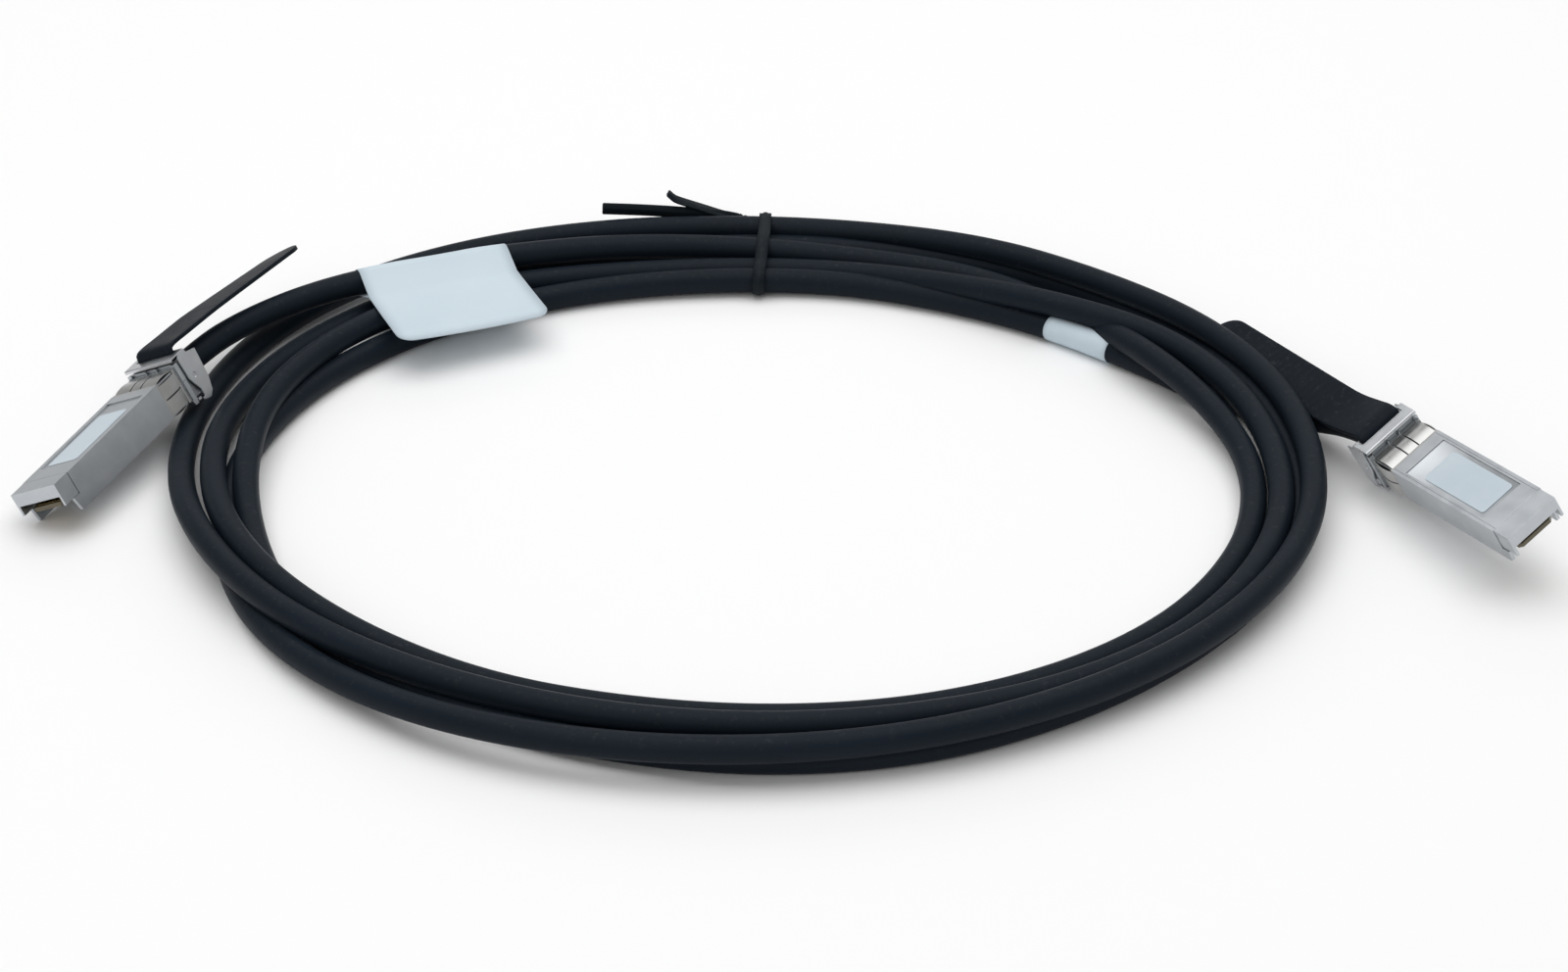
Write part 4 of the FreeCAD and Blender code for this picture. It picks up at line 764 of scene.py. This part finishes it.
tie = {
    "width": 2.8,
    "sheet": 0.35,
    "corner": 0.3,
    "ridge": 0.5,
    "ridgeHalf": 0.62,
    "ridgeCuts": (-0.62, -0.4, -0.2, 0.0, 0.2, 0.4, 0.62),
    "cuts": 90,
    "smoothness": 8,
    # from behind the bundle over its top, down the inside and back underneath
    "loop": [(-3.1, 97.75, 3.0), (-2.7, 97.4, 5.8), (-2.5, 96.3, 8.4), (-2.5, 93.8, 9.3),
             (-2.6, 90, 9.1), (-2.7, 86.6, 9.1), (-2.9, 82.8, 9.3), (-3.2, 79, 8.7),
             (-3.5, 75, 7.4), (-3.8, 71.6, 7.05), (-4, 69, 6.2), (-4.1, 67.95, 4),
             (-4.1, 68.6, 1.5), (-4, 71.2, 0.5), (-3.8, 79, 0.45), (-3.5, 88, 0.45),
             (-3.4, 92.6, 1), (-3.3, 96.3, 2.6), (-3.3, 97.4, 3.6)],
    "longTail": [(-2.8, 98.1, 3.4), (-5.5, 98.3, 4.6), (-9.5, 98.2, 6.0), (-14.5, 98.0, 7.1),
                 (-20.2, 97.7, 7.7), (-26.0, 97.5, 8.3), (-33.6, 97.2, 8.9),
                 (-41.1, 96.9, 9.3)],
    "shortTail": [(-2.8, 98.1, 3.4), (-5.5, 98.3, 4.6), (-9.5, 98.3, 5.9), (-16.7, 98.2, 8.6),
                  (-21.0, 98.1, 10.1), (-23.7, 98.1, 11.1), (-24.6, 98.1, 11.8),
                  (-25.6, 98.2, 12.8)],
    "twisted": 7.0,
    "turns": 1.5,
    "longEnd": {"angle": 86, "lift": 0.45},
    "shortEnd": {"angle": 8, "lift": -0.45},
    "liftRun": 12,
    "slant": 0.05,
}


# A flat strip with a wire ridge along its middle, laid along a line.
def tieStrip(points, sideAt, liftAt):
    line = smoothLine([Vector(point) * mm for point in points], tie["smoothness"])
    line = [point / mm for point in line]
    length = lineLength(line)
    bm = roundedSlab(length, tie["width"], tie["sheet"], tie["corner"], tie["corner"], 2)
    cutAcross(bm, 0, [length * step / tie["cuts"] for step in range(1, tie["cuts"])])
    cutAcross(bm, 1, tie["ridgeCuts"])
    for vert in bm.verts:
        bulge = max(0.0, 1 - (vert.co.y / tie["ridgeHalf"]) ** 2) ** 0.5
        swell = bulge * tie["ridge"] / 2
        vert.co.z += swell if vert.co.z > tie["sheet"] / 2 else -swell
        vert.co.z -= tie["sheet"] / 2
    bendAlong(bm, line, sideAt, liftAt)
    return bm


# A tail starts in the twist, lies beside the other tail there and ends at its own angle.
def tieTail(points, end):
    def sideAt(run):
        untwisted = max(0.0, 1 - run / tie["twisted"])
        angle = math.radians(end["angle"]) + tie["turns"] * 2 * math.pi * untwisted
        return Vector((tie["slant"], math.cos(angle), math.sin(angle)))

    return tieStrip(points, sideAt, lambda run: end["lift"] * max(0.0, 1 - run / tie["liftRun"]))


def makeTwistTie():
    strips = [tieStrip(tie["loop"], lambda run: Vector((-1, 0, 0)), lambda run: 0.0),
              tieTail(tie["longTail"], tie["longEnd"]),
              tieTail(tie["shortTail"], tie["shortEnd"])]
    whole = bmesh.new()
    for strip in strips:
        part = bpy.data.meshes.new("strip")
        strip.to_mesh(part)
        strip.free()
        whole.from_mesh(part)
        bpy.data.meshes.remove(part)
    return storePiece("wireTwistTie", whole, "tiePlastic", "cable", "twist_tie")


twistTie = makeTwistTie()
print("tie twisted")


# Finishes on the CAD nodes of each plug.
nodeFinishes = {
    "top_shell": "nickel", "bottom_shell": "nickel", "paddle_card": "cardMask",
    "contact_pads": "goldPlate", "memory_chip": "chipResin", "wire_potting": "pottingGlue",
    "twin_axial_wires": "wireFoil", "blank_sticker": "stickerFilm",
    "shielding_collar": "springSheet", "release_bracket": "sheetSteel",
    "lock_lever": "sheetSteel", "lever_pin": "sheetSteel", "lever_spring": "springSheet",
    "cable_ferrule": "crimpSleeve",
}
for side in sides:
    for part, surface in nodeFinishes.items():
        materials = nodes["%s_%s" % (side, part)].data.materials
        materials.clear()
        materials.append(surfaces[surface])

# Cast and folded edges are rounded a little, so that they catch the light.
edgeRounding = {
    "widths": {"top_shell": 0.14, "bottom_shell": 0.14, "release_bracket": 0.08,
               "lock_lever": 0.06},
    "weld": 0.002,
    "flatAngle": 2,
    "edgeAngle": 35,
}
for side in sides:
    for part, width in edgeRounding["widths"].items():
        modifiers = nodes["%s_%s" % (side, part)].modifiers
        weld = modifiers.new("weld", "WELD")
        weld.merge_threshold = edgeRounding["weld"] * mm
        flatten = modifiers.new("flatten", "DECIMATE")
        flatten.decimate_type = "DISSOLVE"
        flatten.angle_limit = math.radians(edgeRounding["flatAngle"])
        rounding = modifiers.new("rounding", "BEVEL")
        rounding.limit_method = "ANGLE"
        rounding.angle_limit = math.radians(edgeRounding["edgeAngle"])
        rounding.width = width * mm
        rounding.segments = 2
print("CAD nodes finished")


# Floor, room light and lamps, in metres.
stageSetup = {
    "size": 4.0,
    "drop": 0.00005,
    "floorColour": (0.93, 0.93, 0.93),
    "floorRoughness": 0.8,
    "skyStrength": 0.42,
}

bm = bmesh.new()
bmesh.ops.create_grid(bm, x_segments=1, y_segments=1, size=stageSetup["size"] / 2)
floorMesh = bpy.data.meshes.new("floor")
bm.to_mesh(floorMesh)
bm.free()
floor = bpy.data.objects.new("floor", floorMesh)
floor.location = (0, 0, -stageSetup["drop"])
scene.collection.objects.link(floor)
paper = bpy.data.materials.new("paleFloor")
paper.use_nodes = True
setInputs(paper.node_tree.nodes["Principled BSDF"],
          {"Base Color": (*stageSetup["floorColour"], 1.0),
           "Roughness": stageSetup["floorRoughness"]})
floorMesh.materials.append(paper)

world = bpy.data.worlds.new("softRoom")
world.use_nodes = True
setInputs(world.node_tree.nodes["Background"],
          {"Color": (1.0, 1.0, 1.0, 1.0), "Strength": stageSetup["skyStrength"]})
scene.world = world
scene.view_settings.view_transform = "Standard"

lamps = {
    "topPanel": {"at": (0.0, 0.15, 1.3), "size": (1.9, 1.5), "power": 14.5},
    "backPanel": {"at": (0.1, 1.5, 0.8), "size": (2.0, 0.5), "power": 2.5},
    "frontPanel": {"at": (-0.5, -1.1, 1.0), "size": (0.9, 0.9), "power": 3.0},
}
for name, lamp in lamps.items():
    light = bpy.data.lights.new(name, "AREA")
    light.shape = "RECTANGLE"
    light.size, light.size_y = lamp["size"]
    light.energy = lamp["power"]
    holder = bpy.data.objects.new(name, light)
    holder.location = lamp["at"]
    holder.rotation_euler = lookAt(lamp["at"], (0, 0, 0))
    scene.collection.objects.link(holder)
print("stage set")
